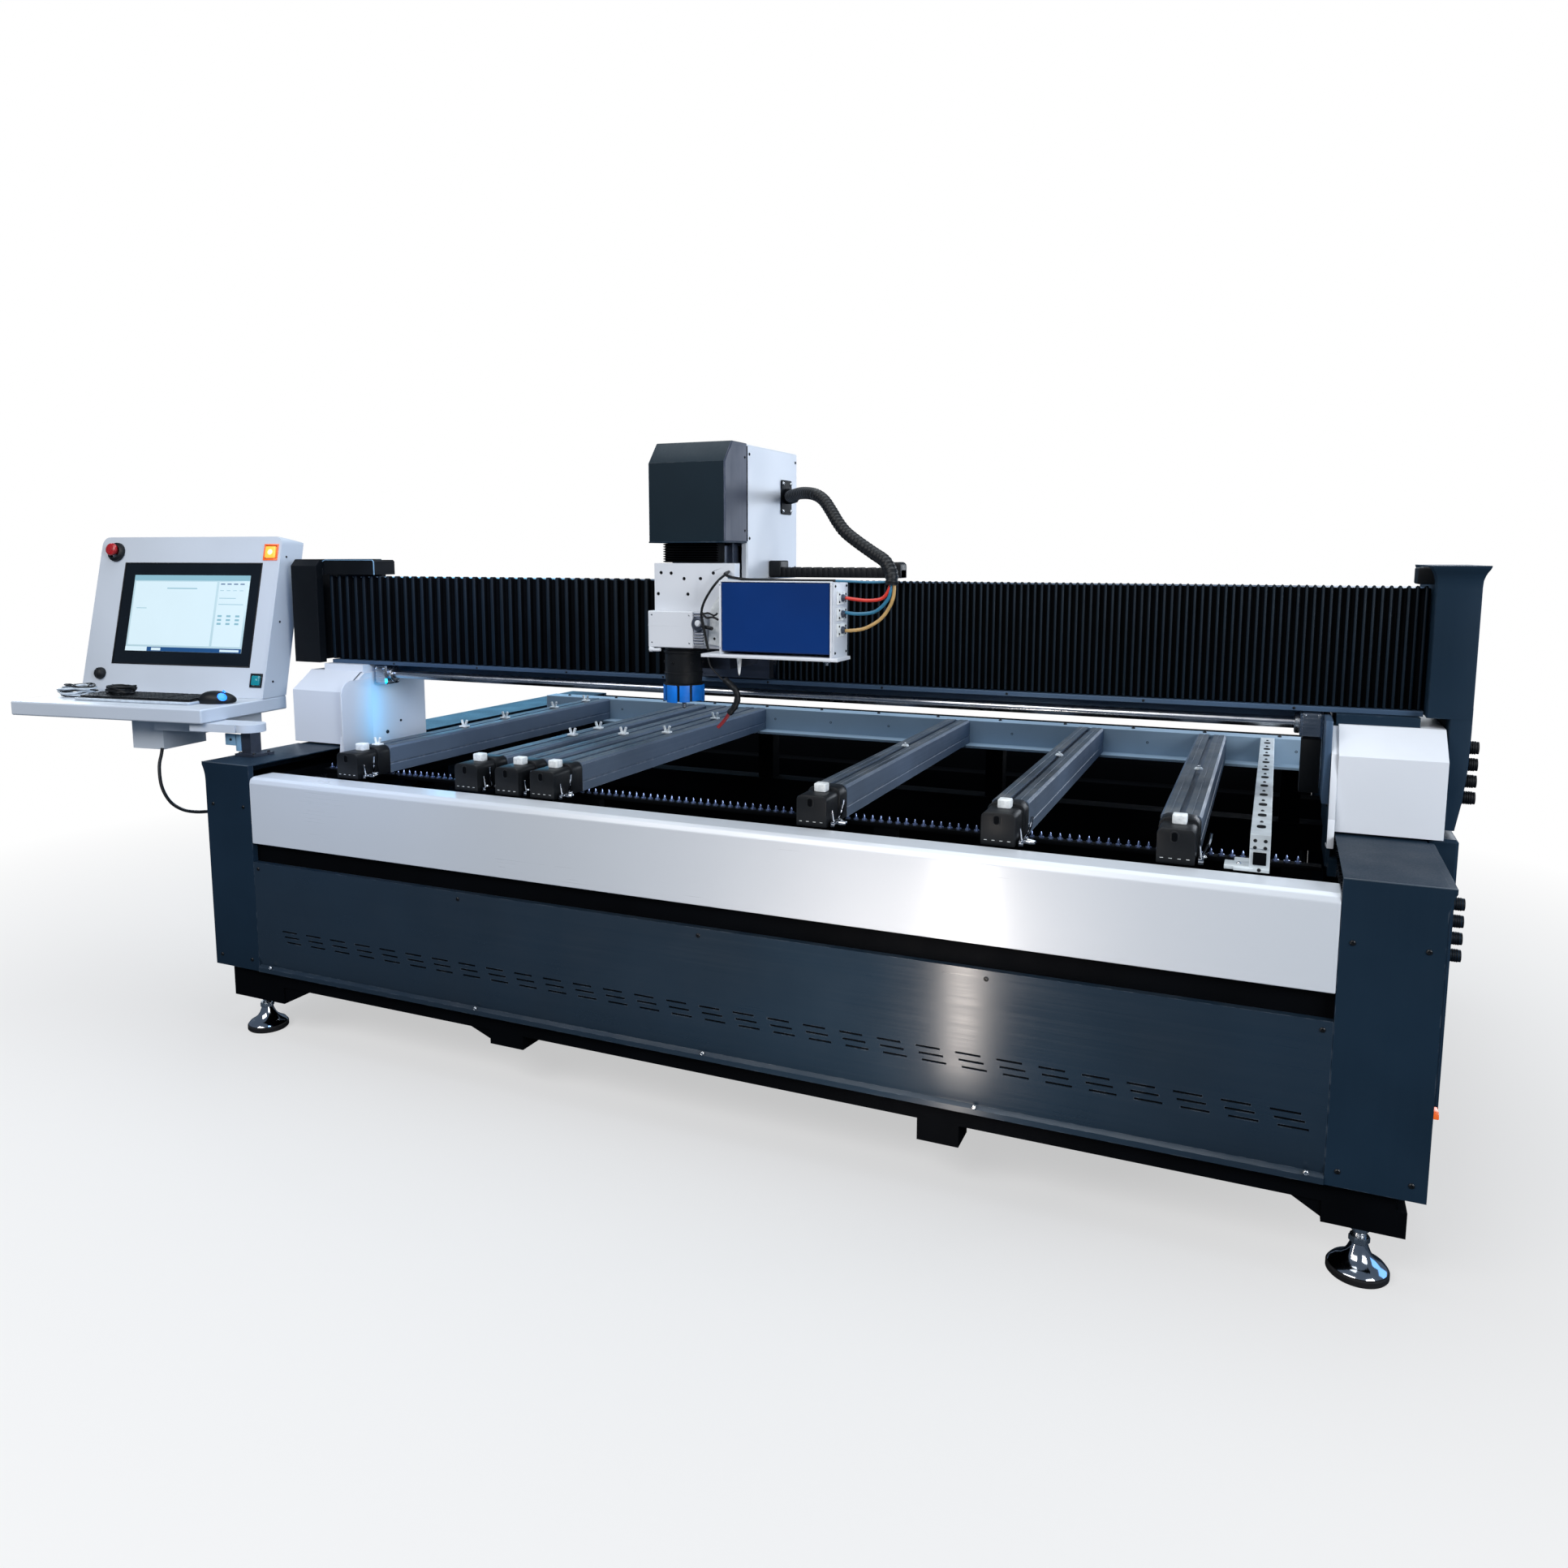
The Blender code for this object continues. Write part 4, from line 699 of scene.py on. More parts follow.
def unsmooth(share):
    """The t where t * t * (3 - 2 * t) equals share."""
    low, high = 0, 1
    for _ in range(50):
        t = (low + high) / 2
        if t * t * (3 - 2 * t) < share:
            low = t
        else:
            high = t
    return (low + high) / 2


# share of the pitch, depth behind the ridges, lift of the top edge, whether it is on the ridge
PLEAT = ((0.02, 0.0125, -0.0035, 0), (0.25, 0.011, -0.003, 0), (0.34, 0.0012, 0, 1), (0.44, 0, 0.0022, 1),
    (0.6, 0, 0.0022, 1), (0.69, 0.0012, 0, 1), (0.78, 0.011, -0.003, 0))
LEVELS = (0, 0.012, 0.5, 0.988, 1)


def bellows(label, fixed, moving, pitch, stands_for):
    """Pleated cover cut into lengths; the first stays on the gantry, the last rides on the carriage, and
    those between are baked in place.
    """
    folds = round(abs(moving - fixed) / pitch)
    step = (moving - fixed) / folds
    marks = sorted({round(stop * folds) for stop in STOPS} | {1, folds - 1})
    low, high = BELLOWS_Z
    rows = len(LEVELS)
    for part, (first, last) in enumerate(zip(marks, marks[1:])):
        piece = Piece(f"bellows_{label}_{part}", "gantry", CLOTH, RIDGE_PAINTED_HIGHLIGHT)
        bm = bmesh.new()
        columns = []
        for fold in range(first, last):
            wobble = 0.001 * math.sin(fold * 2.3) + 0.0006 * math.sin(fold * 5.1)
            for t, y, top, ridge in PLEAT:
                x = fixed + fold * step + t * step
                columns.append((x, BELLOWS_FRONT + y + (wobble if ridge else 0), top, ridge))
        valley = (BELLOWS_FRONT + PLEAT[0][1], *PLEAT[0][2:])
        over = 0 if last == folds else PLEAT[0][0] * step
        columns.append((fixed + last * step + over, *valley))
        if first == 0:
            columns[0] = (fixed, *valley)

        def stack(x, y, top, hem=0.0):
            return [bm.verts.new((x, y + (hem if share in (0, 1) else 0), low + (high + top - low) * share))
                for share in LEVELS]

        fronts = [stack(x, y, top, 0.0012) for x, y, top, _ in columns]
        backs = [stack(x, BELLOWS_FRONT + 0.016, top) for x, _, top, _ in columns]
        for i in range(len(columns) - 1):
            # crest faces take the lighter ridge copy: painted highlight
            ridge = 1 if columns[i][3] and columns[i + 1][3] else 0
            for k in range(rows - 1):
                f = bm.faces.new((fronts[i][k], fronts[i + 1][k], fronts[i + 1][k + 1], fronts[i][k + 1]))
                f.material_index = ridge
                bm.faces.new((backs[i + 1][k], backs[i][k], backs[i][k + 1], backs[i + 1][k + 1]))
            for k in (0, rows - 1):
                f = bm.faces.new((fronts[i][k], backs[i][k], backs[i + 1][k], fronts[i + 1][k]))
                f.material_index = ridge
        for i in (0, len(columns) - 1):
            for k in range(rows - 1):
                bm.faces.new((fronts[i][k], fronts[i][k + 1], backs[i][k + 1], backs[i][k]))
        bmesh.ops.recalc_face_normals(bm, faces=bm.faces)
        piece.absorb(bm, None)
        names = stands_for if part == 0 else ()
        blend = None
        if last == folds:
            piece.body = "carriage"
        elif first > 0:
            a, b = unsmooth(first / folds), unsmooth(last / folds)
            xa, xb = fixed + first * step, fixed + last * step
            scale_x = (xb - xa) / (b - a)
            start = xa - a * scale_x
            blend = ("gantry", "carriage", (start, BELLOWS_FRONT, 1.26),
                (start + scale_x, BELLOWS_FRONT, 1.26))
        piece.done(names, sharp=50, blend=blend)


HEAD_LOW, HEAD_HIGH = (corner.x - X0 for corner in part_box("head_box"))
bellows("left", 0.0145, HEAD_LOW - 0.001, 0.0351, ("bellows_left",))
bellows("right", 3.2865, HEAD_HIGH + 0.001, 0.0174, ("bellows_right",))

zb = Piece("head_bellows", "carriage", CLOTH)
zone = [(0.259, 1.5072)]
for i in range(8):
    z = 1.5072 - (i + 0.5) * 0.0063
    zone += [(0.2235, z + 0.002), (0.2115, z), (0.2115, z - 0.0012), (0.2235, z - 0.0031)]
zone.append((0.259, 1.4565))
zb.prism(zone, "X", 1.49, 1.647, 0)
zb.done(("z_bellows",), sharp=30,
    blend=("carriage", "spindle_head", (1.57, 0.23, 1.5065), (1.57, 0.23, 1.4572)))

# ---- gantry details
hardware = Piece("gantry_hardware", "gantry", SCREW, ZINC)
for x in (0.235, 3.06):
    for dx in (-0.016, 0.016):
        hardware.dome((x + dx, 0.5102, 1.1), SOUTH, 0.0042, 0.003, 1)
    side = 1 if x < 1 else -1
    hardware.turn(((0.0151, 0), (0.024, 0), (0.0255, 0.002), (0.0255, 0.01), (0.0225, 0.012),
        (0.0151, 0.012), (0.0151, 0)), (x + side * 0.0252, 0.545, 1.079), (side, 0, 0), 28, 1)
for i in range(9):
    hardware.dome((0.3 + i * 0.34, 0.5065, 1.118), SOUTH, 0.0036, 0.002)
hardware.dome((0.1985, 0.573, 0.874), EAST, 0.0065, 0.004)
hardware.dome((0.1985, 0.64, 0.905), EAST, 0.0045, 0.003)
for z in (0.9, 0.98, 1.04):
    hardware.dome((3.1015, 0.47, z), WEST, 0.005, 0.003)
hardware.done()

# folded light rim along the front edge of each leg blade
BLADE_EDGE = ((0.4315, 0.8112), (0.362, 0.8212), (0.371, 0.886), (0.394, 1.0306), (0.4745, 1.0858))
rim = Piece("leg_blade_rims", "gantry", LIGHT)
for low, high in ((0.1852, 0.1992), (BASE_LENGTH - 0.1992, BASE_LENGTH - 0.1852)):
    inner = [(y + 0.007, z + (0.006 if z < 0.83 else -0.003 if z > 1 else 0)) for y, z in BLADE_EDGE]
    for first, second, third, fourth in zip(BLADE_EDGE, BLADE_EDGE[1:], inner[1:], inner):
        rim.prism([first, second, third, fourth], "X", low, high, 0.001)
rim.done()

# end cover on the right: a flared cap over a slim tapering body
shell = Piece("end_cover_shell", "gantry", SLATE_UP, BLACK)


def ring_at(x0, y0, x1, y1, z, r=0.004):
    return [(a, b, z) for a, b in rounded((x0, y0), (x1, y1), r, steps=3)]


flare = [(1.114, 0), (1.405, 0), (1.42, 0.0008), (1.43, 0.0035), (1.438, 0.007), (1.4445, 0.011),
    (1.45, 0.013), (1.4528, 0.0132)]
shell.loft([ring_at(3.2898 - 0.9 * grow, 0.4712 - grow, 3.379 + grow, 0.8 + grow, z) for z, grow in flare])
taper = [(0.866, 3.358, 0.453), (0.93, 3.369, 0.457), (1, 3.376, 0.463), (1.08, 3.379, 0.47),
    (1.14, 3.3795, 0.473)]
shell.loft([ring_at(3.3348, y, x, 0.798, z) for z, x, y in taper])
shell.box((3.255, 0.5, 1.411), (3.299, 0.57, 1.448), 0.004, 1, segments=3)
shell.box((3.266, 0.505, 1.444), (3.3, 0.56, 1.4495), 0.0015, 1)
shell.done(("end_cover_right",))

flange = Piece("left_leg_flange", "gantry", LIGHT)
flange.prism(((0.364, 0.836), (0.364, 1.025), (0.37, 1.045), (0.385, 1.06), (0.405, 1.0665), (0.5, 1.0665),
    (0.5, 0.836)), "X", 0.1978, 0.204, 0.0008)
flange.done()

hanger = Piece("shaft_hanger_right", "gantry", BLACK, SLATE_BEAM)
hanger.box((3.04, 0.52, 0.915), (3.083, 0.57, 1.045), 0.002)
hanger.box((3.086, 0.4, 0.915), (3.1005, 0.75, 1.105), 0.001, 1)
hanger.done()

# a pale blue strip along the top edge of the left end cover's bracket: a painted highlight on the black
# cover
bracket = Piece("left_cover_bracket_edge_highlight", "gantry", PALE_BLUE_AND_HIGHLIGHT)
bracket.prism(((0.004, 1.452), (0.024, 1.4606), (0.231, 1.4606), (0.2372, 1.4545), (0.2372, 1.411),
    (0.2352, 1.411), (0.2352, 1.4536), (0.2302, 1.4586), (0.0244, 1.4586), (0.0052, 1.45)), "Y", 0.4992,
    0.502, 0)
bracket.done()

# ribbed cable glands on the end cover and on the cabinet
glands = Piece("cover_glands", "gantry", BLACK_PLASTIC)
lower = Piece("cabinet_glands", "base", BLACK_PLASTIC)


def gland(piece, x, y, z):
    profile = [(0, 0)]
    for i in range(5):
        profile += [(0.015, 0.0002 + i * 0.0044), (0.015, 0.0026 + i * 0.0044), (0.0128, 0.003 + i * 0.0044),
            (0.0128, 0.0042 + i * 0.0044)]
    profile += [(0.014, 0.0225), (0.014, 0.0262), (0.006, 0.027), (0, 0.027)]
    piece.turn(profile, (x, y, z), EAST, 24)


for i in range(4):
    gland(glands, 3.372, 0.5, 0.935 + i * 0.038)
    gland(lower, 3.3652, 0.475, 0.575 + i * 0.04)
glands.done()
lower.done()

# ---- carriage: head and cable trough
trough = Piece("cable_channel", "carriage", BLACK_PLASTIC)
low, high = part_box("cable_trough")
a, b = low.x - X0, high.x - X0
TROUGH_Y = (0.479, 0.525)
LINKS = 24
for i in range(LINKS):
    x = a + 0.002 + (b - a - 0.004) * i / LINKS
    width = (b - a - 0.004) / LINKS
    z = 1.443 - 0.0012 * (i % 2)
    trough.prism([(x, 1.4165), (x + width * 0.92, 1.4165), (x + width * 0.92, z - 0.004),
        (x + width * 0.74, z), (x + width * 0.18, z), (x, z - 0.004)], "Y", TROUGH_Y[0], TROUGH_Y[1], 0.0012)
trough.box((a + 0.001, TROUGH_Y[0] + 0.002, 1.415), (b, TROUGH_Y[1] - 0.002, 1.437), 0.001)
trough.box((a, 0.4725, 1.415), (1.713, 0.5315, 1.4608), 0.004, segments=3)
trough.prism(rounded((2.0285, 1.415), (2.058, 1.4575), 0.012, (0, 0, 1, 1)), "Y", 0.4745, 0.5295, 0.002)
trough.done(("cable_trough",))

head = Piece("head_fixings", "carriage", SCREW, ZINC, BLACK, LIGHT)
for y, z in ((0.348, 1.74), (0.662, 1.74), (0.348, 1.52), (0.662, 1.44)):
    head.dome((HEAD_HIGH, y, z), EAST, 0.0042, 0.002)
    head.dome((HEAD_LOW, y, z), WEST, 0.0042, 0.002)
for y, z in ((0.32, 1.54), (0.32, 1.73)):
    head.dome((HEAD_HIGH, y, z), EAST, 0.0036, 0.002)
plate_y = 0.592
head.prism(rounded((plate_y - 0.036, 1.59), (plate_y + 0.036, 1.686), 0.006), "X", HEAD_HIGH - 0.0005,
    HEAD_HIGH + 0.004, 0.001, 2)
for dy in (-0.028, 0.028):
    for z in (1.6, 1.676):
        head.dome((HEAD_HIGH + 0.004, plate_y + dy, z), EAST, 0.0052, 0.004, 1)
head.turn(capped((0.023, 0, 6), (0.024, 0.002, 6), (0.024, 0.012, 6), (0.02, 0.014), (0.02, 0.02),
    (0.0175, 0.03)), (HEAD_HIGH + 0.004, plate_y, 1.641), EAST, 24, 2)
for i in range(6):
    z = 1.48 + i * 0.022
    head.box((1.5, 0.6755, z), (1.63, 0.6785, z + 0.006), 0.001, 3)
head.done()

seam = Piece("hood_trim", "carriage", BLACK, SLATE_UP)
seam.box((HEAD_LOW + 0.004, 0.3338, 1.512), (HEAD_LOW - 0.0012, 0.3349, 1.758), 0)
seam.box((HEAD_HIGH - 0.004, 0.3338, 1.512), (HEAD_HIGH + 0.0012, 0.3349, 1.76), 0)
seam.prism(rounded((HEAD_LOW - 0.001, 0.1992), (HEAD_HIGH + 0.001, 0.333), 0.004), "Z", 1.5072, 1.511,
    0.0008, 1)
seam.done()

# the conduit arches from the head down to the driver box
conduit = Piece("cable_conduit", "carriage", BLACK_PLASTIC)
arch = [(1.705, 0.592, 1.641), (1.727, 0.51, 1.6375), (1.793, 0.43, 1.6403), (1.8527, 0.37, 1.6334),
    (1.8908, 0.34, 1.6167), (1.9235, 0.31, 1.5872), (1.9506, 0.285, 1.5589), (1.9788, 0.265, 1.5333),
    (2.0211, 0.24, 1.5076), (2.0699, 0.215, 1.4808), (2.1064, 0.19, 1.4625), (2.1282, 0.17, 1.4402),
    (2.1364, 0.158, 1.4227), (2.1368, 0.154, 1.405)]
conduit.tube(arch, 0.014, 14, 0, 0.16, 0.0032)
conduit.done(sharp=60, blend=("carriage", "spindle_head", (1.9, 0.3, 1.64),
    (1.9, 0.3, 1.44)))

cables = Piece("head_cables", "spindle_head", RED_CABLE, TEAL_CABLE, TAN_CABLE, BLACK_PLASTIC, DARK_RED)
for m, path in enumerate((((2.133, 1.416), (2.131, 1.397), (2.1149, 1.3747), (2.0832, 1.3684),
        (2.0442, 1.3707), (2.017, 1.3745)), ((2.136, 1.416), (2.13, 1.376), (2.0997, 1.3442),
        (2.061, 1.3361), (2.0279, 1.3376), (2.012, 1.34)),
        ((2.14, 1.416), (2.1434, 1.3961), (2.1368, 1.3636), (2.1121, 1.3266), (2.0727, 1.3024),
        (2.0366, 1.2956), (2.012, 1.295)))):
    cables.tube([(x, 0.156, z) for x, z in path], 0.0042, 10, m)
cables.tube([(1.71, 0.15, 1.4205), (1.76, 0.145, 1.4165), (1.9, 0.145, 1.415), (2.004, 0.145, 1.4145),
    (2.08, 0.148, 1.412), (2.124, 0.152, 1.413)], 0.003, 10, 1)
cables.tube([(1.69, 0.196, 1.434), (1.702, 0.15, 1.427), (1.76, 0.13, 1.417), (1.88, 0.128, 1.415),
    (2.004, 0.13, 1.415)], 0.0036, 10, 3)
cables.tube([(1.688, 0.193, 1.432), (1.68, 0.15, 1.41), (1.654, 0.15, 1.378), (1.636, 0.152, 1.346),
    (1.632, 0.154, 1.318), (1.64, 0.152, 1.29), (1.648, 0.148, 1.26), (1.656, 0.144, 1.236)], 0.0032, 10, 3)
cables.tube([(1.634, 0.154, 1.33), (1.648, 0.15, 1.318), (1.668, 0.148, 1.32), (1.684, 0.144, 1.314)],
    0.0028, 10, 3)
cables.tube([(1.635, 0.153, 1.326), (1.65, 0.154, 1.33), (1.67, 0.15, 1.324), (1.682, 0.144, 1.33)], 0.0024,
    10, 3)
cables.tube([(1.652, 0.148, 1.223), (1.662, 0.142, 1.198), (1.678, 0.14, 1.18), (1.694, 0.14, 1.166),
    (1.706, 0.14, 1.158)], 0.0024, 10, 3)
cables.tube([(1.704, 0.14, 1.164), (1.722, 0.14, 1.15), (1.736, 0.14, 1.135), (1.739, 0.14, 1.114),
    (1.73, 0.14, 1.094), (1.716, 0.14, 1.078)], 0.0078, 12, 3, 0.1, 0.004)
cables.tube([(1.7165, 0.14, 1.079), (1.708, 0.14, 1.066), (1.696, 0.14, 1.052), (1.684, 0.14, 1.04)], 0.0046,
    10, 4)
cables.done()

# ---- spindle head


def radius_of(name):
    low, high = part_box(name)
    return (high.x - low.x) / 2


AXIS = sum(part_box("spindle_tool"), Vector()) / 2 - Vector((X0, Y0, 0))
BODY_R, SKIRT_R = radius_of("spindle_body"), radius_of("dust_skirt")
SKIRT_LOW, SKIRT_HIGH = (corner.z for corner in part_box("dust_skirt"))
spindle = Piece("spindle_details", "spindle_head", LIGHT, ZINC, BLACK_PLASTIC, SCREW, DARK_STEEL)
PLATE_HOLES = ((1.49, 1.43), (1.52, 1.429), (1.558, 1.415), (1.606, 1.4155), (1.643, 1.43), (1.6845, 1.4315),
    (1.481, 1.375), (1.569, 1.375))
for x, z in PLATE_HOLES:
    spindle.turn(capped((0.0044, 0), (0.0044, 0.0076), (0.003, 0.0072), (0.0022, 0.004, 6)), (x, 0.2076, z),
        SOUTH, 18, 3)
for x, z in ((1.48, 1.25), (1.48, 1.322), (1.59, 1.322), (1.59, 1.25)):
    spindle.dome((x, 0.1652, z), SOUTH, 0.0026, 0.001, 1)
spindle.box((1.4682, 0.1646, 1.2935), (1.6002, 0.199, 1.2943), 0.0002, 0)
for i in range(11):
    spindle.rod((1.6005, 0.1715, 1.25 + i * 0.0076), (1.6285, 0.1715, 1.25 + i * 0.0076), 0.0026, 0.0006, 10,
        4)
spindle.turn(capped((0.017, 0), (0.018, 0.002), (0.018, 0.006), (0.014, 0.009)), (1.615, 0.1705, 1.3), SOUTH,
    28, 4)
spindle.turn(((0, 0), (0.0085, 0), (0.0085, 0.004), (0.006, 0.007), (0, 0.008)), (1.618, 0.1625, 1.302),
    SOUTH, 24, 0)
spindle.rod((1.626, 0.166, 1.295), (1.66, 0.16, 1.29), 0.0048, 0.0012, 14, 3)
spindle.turn(((BODY_R + 0.0002, 0), (BODY_R + 0.003, 0.001), (BODY_R + 0.003, 0.007),
    (BODY_R + 0.0002, 0.008), (BODY_R + 0.0002, 0)), (*AXIS.xy, 1.22), UP, 40, 2)
spindle.turn(((BODY_R + 0.0002, 0), (BODY_R + 0.0014, 0.001), (BODY_R + 0.0014, 0.005),
    (BODY_R + 0.0002, 0.006), (BODY_R + 0.0002, 0)), (*AXIS.xy, 1.164), UP, 40, 2)
for i in range(6):
    angle = math.pi * 2 * i / 6 + 0.4
    spindle.bolt((AXIS.x + BODY_R * math.cos(angle), AXIS.y + BODY_R * math.sin(angle), 1.195),
        (math.cos(angle), math.sin(angle), 0), 0.0036, 0.0025, 3)
spindle.tube([(1.472, 0.172, 1.248), (1.474, 0.168, 1.234), (1.486, 0.166, 1.23), (1.504, 0.168, 1.231)],
    0.0045, 10, 0)
spindle.turn(((0, -0.008), (0.006, -0.006), (0.0068, 0), (0.005, 0.006), (0, 0.008)), (1.478, 0.168, 1.231),
    (1, 0, 0.2), 16, 0)
spindle.done()

skirt = Piece("skirt_segments", "spindle_head", SKIRT, BLACK_PLASTIC)
SEGMENTS = 9
for i in range(SEGMENTS):
    middle = 2 * math.pi * (i + 0.5) / SEGMENTS
    half = math.pi / SEGMENTS * (0.72 if i % 2 else 0.92)
    outer, inner = [], []
    for k in range(5):
        angle = middle - half + 2 * half * k / 4
        outer.append((AXIS.x + SKIRT_R * math.cos(angle), AXIS.y + SKIRT_R * math.sin(angle)))
        inner.append((AXIS.x + (SKIRT_R - 0.004) * math.cos(angle),
            AXIS.y + (SKIRT_R - 0.004) * math.sin(angle)))
    skirt.prism(outer + inner[::-1], "Z", SKIRT_LOW + 0.002 * (i % 3), SKIRT_HIGH - 0.003, 0.0006)
skirt.turn(((SKIRT_R - 0.008, 0), (SKIRT_R - 0.0048, 0), (SKIRT_R - 0.0048, 0.042), (SKIRT_R - 0.008, 0.042),
    (SKIRT_R - 0.008, 0)), (*AXIS.xy, SKIRT_LOW + 0.003), UP, 36, 1)
skirt.turn(((0.03, 0), (SKIRT_R - 0.0015, 0), (SKIRT_R - 0.0005, 0.0015), (SKIRT_R - 0.0005, 0.004),
    (SKIRT_R - 0.003, 0.0058), (0.03, 0.0058), (0.03, 0)), (*AXIS.xy, SKIRT_HIGH - 0.006), UP, 40, 1)
skirt.done(("dust_skirt",))

driver = Piece("driver_trim", "spindle_head", LIGHT, ZINC, BLACK_PLASTIC, PAD, DARK_STEEL)
FX, FZ = (1.7045, 2.0045), (1.2305, 1.412)
driver.box((FX[0], 0.1085, FZ[0]), (FX[0] + 0.0045, 0.206, FZ[1] - 0.001), 0.0008)
driver.box((FX[0], 0.1085, 1.4103), (1.9995, 0.206, 1.4133), 0.0008)
driver.box((FX[1] + 0.0002, 0.112, 1.234), (FX[1] + 0.003, 0.208, 1.409), 0.0006)
for i in range(3):
    z = 1.3735 - i * 0.0385
    driver.box((FX[1] + 0.0028, 0.13, z - 0.016), (FX[1] + 0.008, 0.186, z + 0.016), 0.0018, 3)
    driver.turn(((0, 0), (0.01, 0, 6), (0.01, 0.004, 6), (0.007, 0.005), (0.007, 0.009), (0, 0.0095)),
        (FX[1] + 0.008, 0.156, z), EAST, 18, 4)
    for dy in (-0.021, 0.021):
        for dz in (-0.009, 0.009):
            driver.dome((FX[1] + 0.008, 0.158 + dy, z + dz), EAST, 0.0028, 0.002, 2)
for z in (1.242, 1.402):
    for y in (0.122, 0.198):
        driver.dome((FX[1] + 0.003, y, z), EAST, 0.0034, 0.002, 2)
lip = rounded((1.653, 0.104), (2.0205, 0.197), 0.03, (1, 0, 0, 1))
driver.prism(lip, "Z", 1.2222, 1.2308, 0.003, segments=3)
driver.turn(((0, 0), (0.007, 0), (0.0065, 0.006), (0.003, 0.042), (0, 0.05)), (1.74, 0.15, 1.2225), DOWN, 16,
    3)
driver.turn(capped((0.01, 0), (0.01, 0.005), (0.0045, 0.006), (0.0045, 0.012)), (1.98, 0.14, 1.2225), DOWN,
    16, 1)
for x in (1.707, 2.002):
    for z in (1.246, 1.403):
        driver.dome((x, 0.1085, z), SOUTH, 0.0018, 0.001, 1)
driver.prism([(1.632, 1.248), (1.7045, 1.236), (1.7045, 1.408), (1.686, 1.408), (1.64, 1.34)], "Y", 0.1905,
    0.1985, 0.001, 3)
for x, z in ((1.69, 1.39), (1.692, 1.33), (1.65, 1.262), (1.69, 1.256)):
    driver.dome((x, 0.1905, z), SOUTH, 0.0036, 0.002, 2)
driver.done()

# ---- console
BEZEL = (0.024, 0.004, 0.292, 0.182)
SCREEN_AT = (0.028, 0.0055, 0.245, 0.1355)
panel = Piece("screen_glass", "console", SCREEN, UI_PALE, UI_CYAN, UI_DARK, axes=FACE)
sx, sz, sw, sh = SCREEN_AT
panel.box((sx - sw, -0.0008, sz - sh), (sx + sw, 0.0012, sz + sh), 0.0003)


def tile(x0, z0, x1, z1, m, lift=0.0003):
    """A flat mark on the screen; shares run from the lower left corner."""
    panel.box((sx - sw + 2 * sw * x0, -0.0008 - lift, sz - sh + 2 * sh * z0),
        (sx - sw + 2 * sw * x1, -0.0007, sz - sh + 2 * sh * z1), 0, m)


tile(0, 0.93, 1, 1, 2)
tile(0.015, 0.08, 0.725, 0.915, 1)
tile(0.745, 0.08, 0.985, 0.915, 1)
tile(0, 0, 0.19, 0.055, 1)
tile(0.19, 0, 1, 0.055, 3)
tile(0.23, 0.01, 0.31, 0.045, 1, 0.0006)
tile(0.82, 0.012, 0.98, 0.04, 1, 0.0006)
tile(0.3, 0.82, 0.56, 0.832, 2, 0.0006)
for i in range(4):
    tile(0.76 + 0.055 * i, 0.88, 0.795 + 0.055 * i, 0.893, 3, 0.0006)
    tile(0.76 + 0.055 * i, 0.8, 0.79 + 0.055 * i, 0.806, 2, 0.0006)
for i in range(3):
    for k in range(3):
        tile(0.765 + 0.075 * i, 0.36 + 0.05 * k, 0.8 + 0.075 * i, 0.385 + 0.05 * k, 2, 0.0006)
tile(0.76, 0.62, 0.97, 0.627, 2, 0.0006)
tile(0.76, 0.7, 0.9, 0.707, 2, 0.0006)
tile(0.05, 0.56, 0.14, 0.567, 2, 0.0006)
panel.done()

trim = Piece("console_face_trim", "console", BLACK_PLASTIC, ORANGE_RIM_PAINTED_GLOW, SCREW, axes=FACE)
bx, bz, bw, bh = BEZEL
for low, high in (((bx - bw, bz - bh), (bx - bw + 0.004, bz + bh)),
        ((bx + bw - 0.004, bz - bh), (bx + bw, bz + bh)), ((bx - bw, bz + bh - 0.004), (bx + bw, bz + bh)),
        ((bx - bw, bz - bh), (bx + bw, bz - bh + 0.004))):
    trim.box((low[0], -0.0018, low[1]), (high[0], 0.0006, high[1]), 0.0006, 0)
ESTOP, LAMP, START, KNOB = (-0.318, 0.229), (0.344, 0.223), (0.35, -0.221), (-0.307, -0.215)
trim.turn(((0.0228, 0), (0.033, 0), (0.0345, 0.002), (0.033, 0.011), (0.027, 0.016), (0.0228, 0.0165),
    (0.0228, 0)), (ESTOP[0] + 0.006, 0, ESTOP[1] - 0.006), SOUTH, 36, 0)
# the lamp bezel ring takes the glowing orange: painted glow
for (x, z), half, m in ((LAMP, 0.0285, 1), (START, 0.024, 0)):
    inner = half * 0.8
    for inside, outside, depth, edge, shade in ((inner, half, 0.0035, 0.001, m),
            (inner * 0.93, inner, 0.0008, 0, 2)):
        for dx, dz, wide, tall in ((-1, 0, 0, 1), (1, 0, 0, 1), (0, -1, 1, 0), (0, 1, 1, 0)):
            middle, thick = (inside + outside) / 2, (outside - inside) / 2
            w = outside if wide else thick
            h = inside + 0.0002 if tall else thick
            cx, cz = x + dx * middle, z + dz * middle
            trim.box((cx - w, -depth, cz - h), (cx + w, 0.0003, cz + h), edge, shade)
trim.turn(((0, 0), (0.02, 0), (0.0215, 0.003), (0.02, 0.012), (0.015, 0.018), (0.009, 0.0205), (0, 0.021)),
    (KNOB[0], 0, KNOB[1]), SOUTH, 28, 0)
trim.box((KNOB[0] - 0.003, -0.0235, KNOB[1] - 0.016), (KNOB[0] + 0.003, -0.017, KNOB[1] + 0.016), 0.0012, 0)
trim.done()

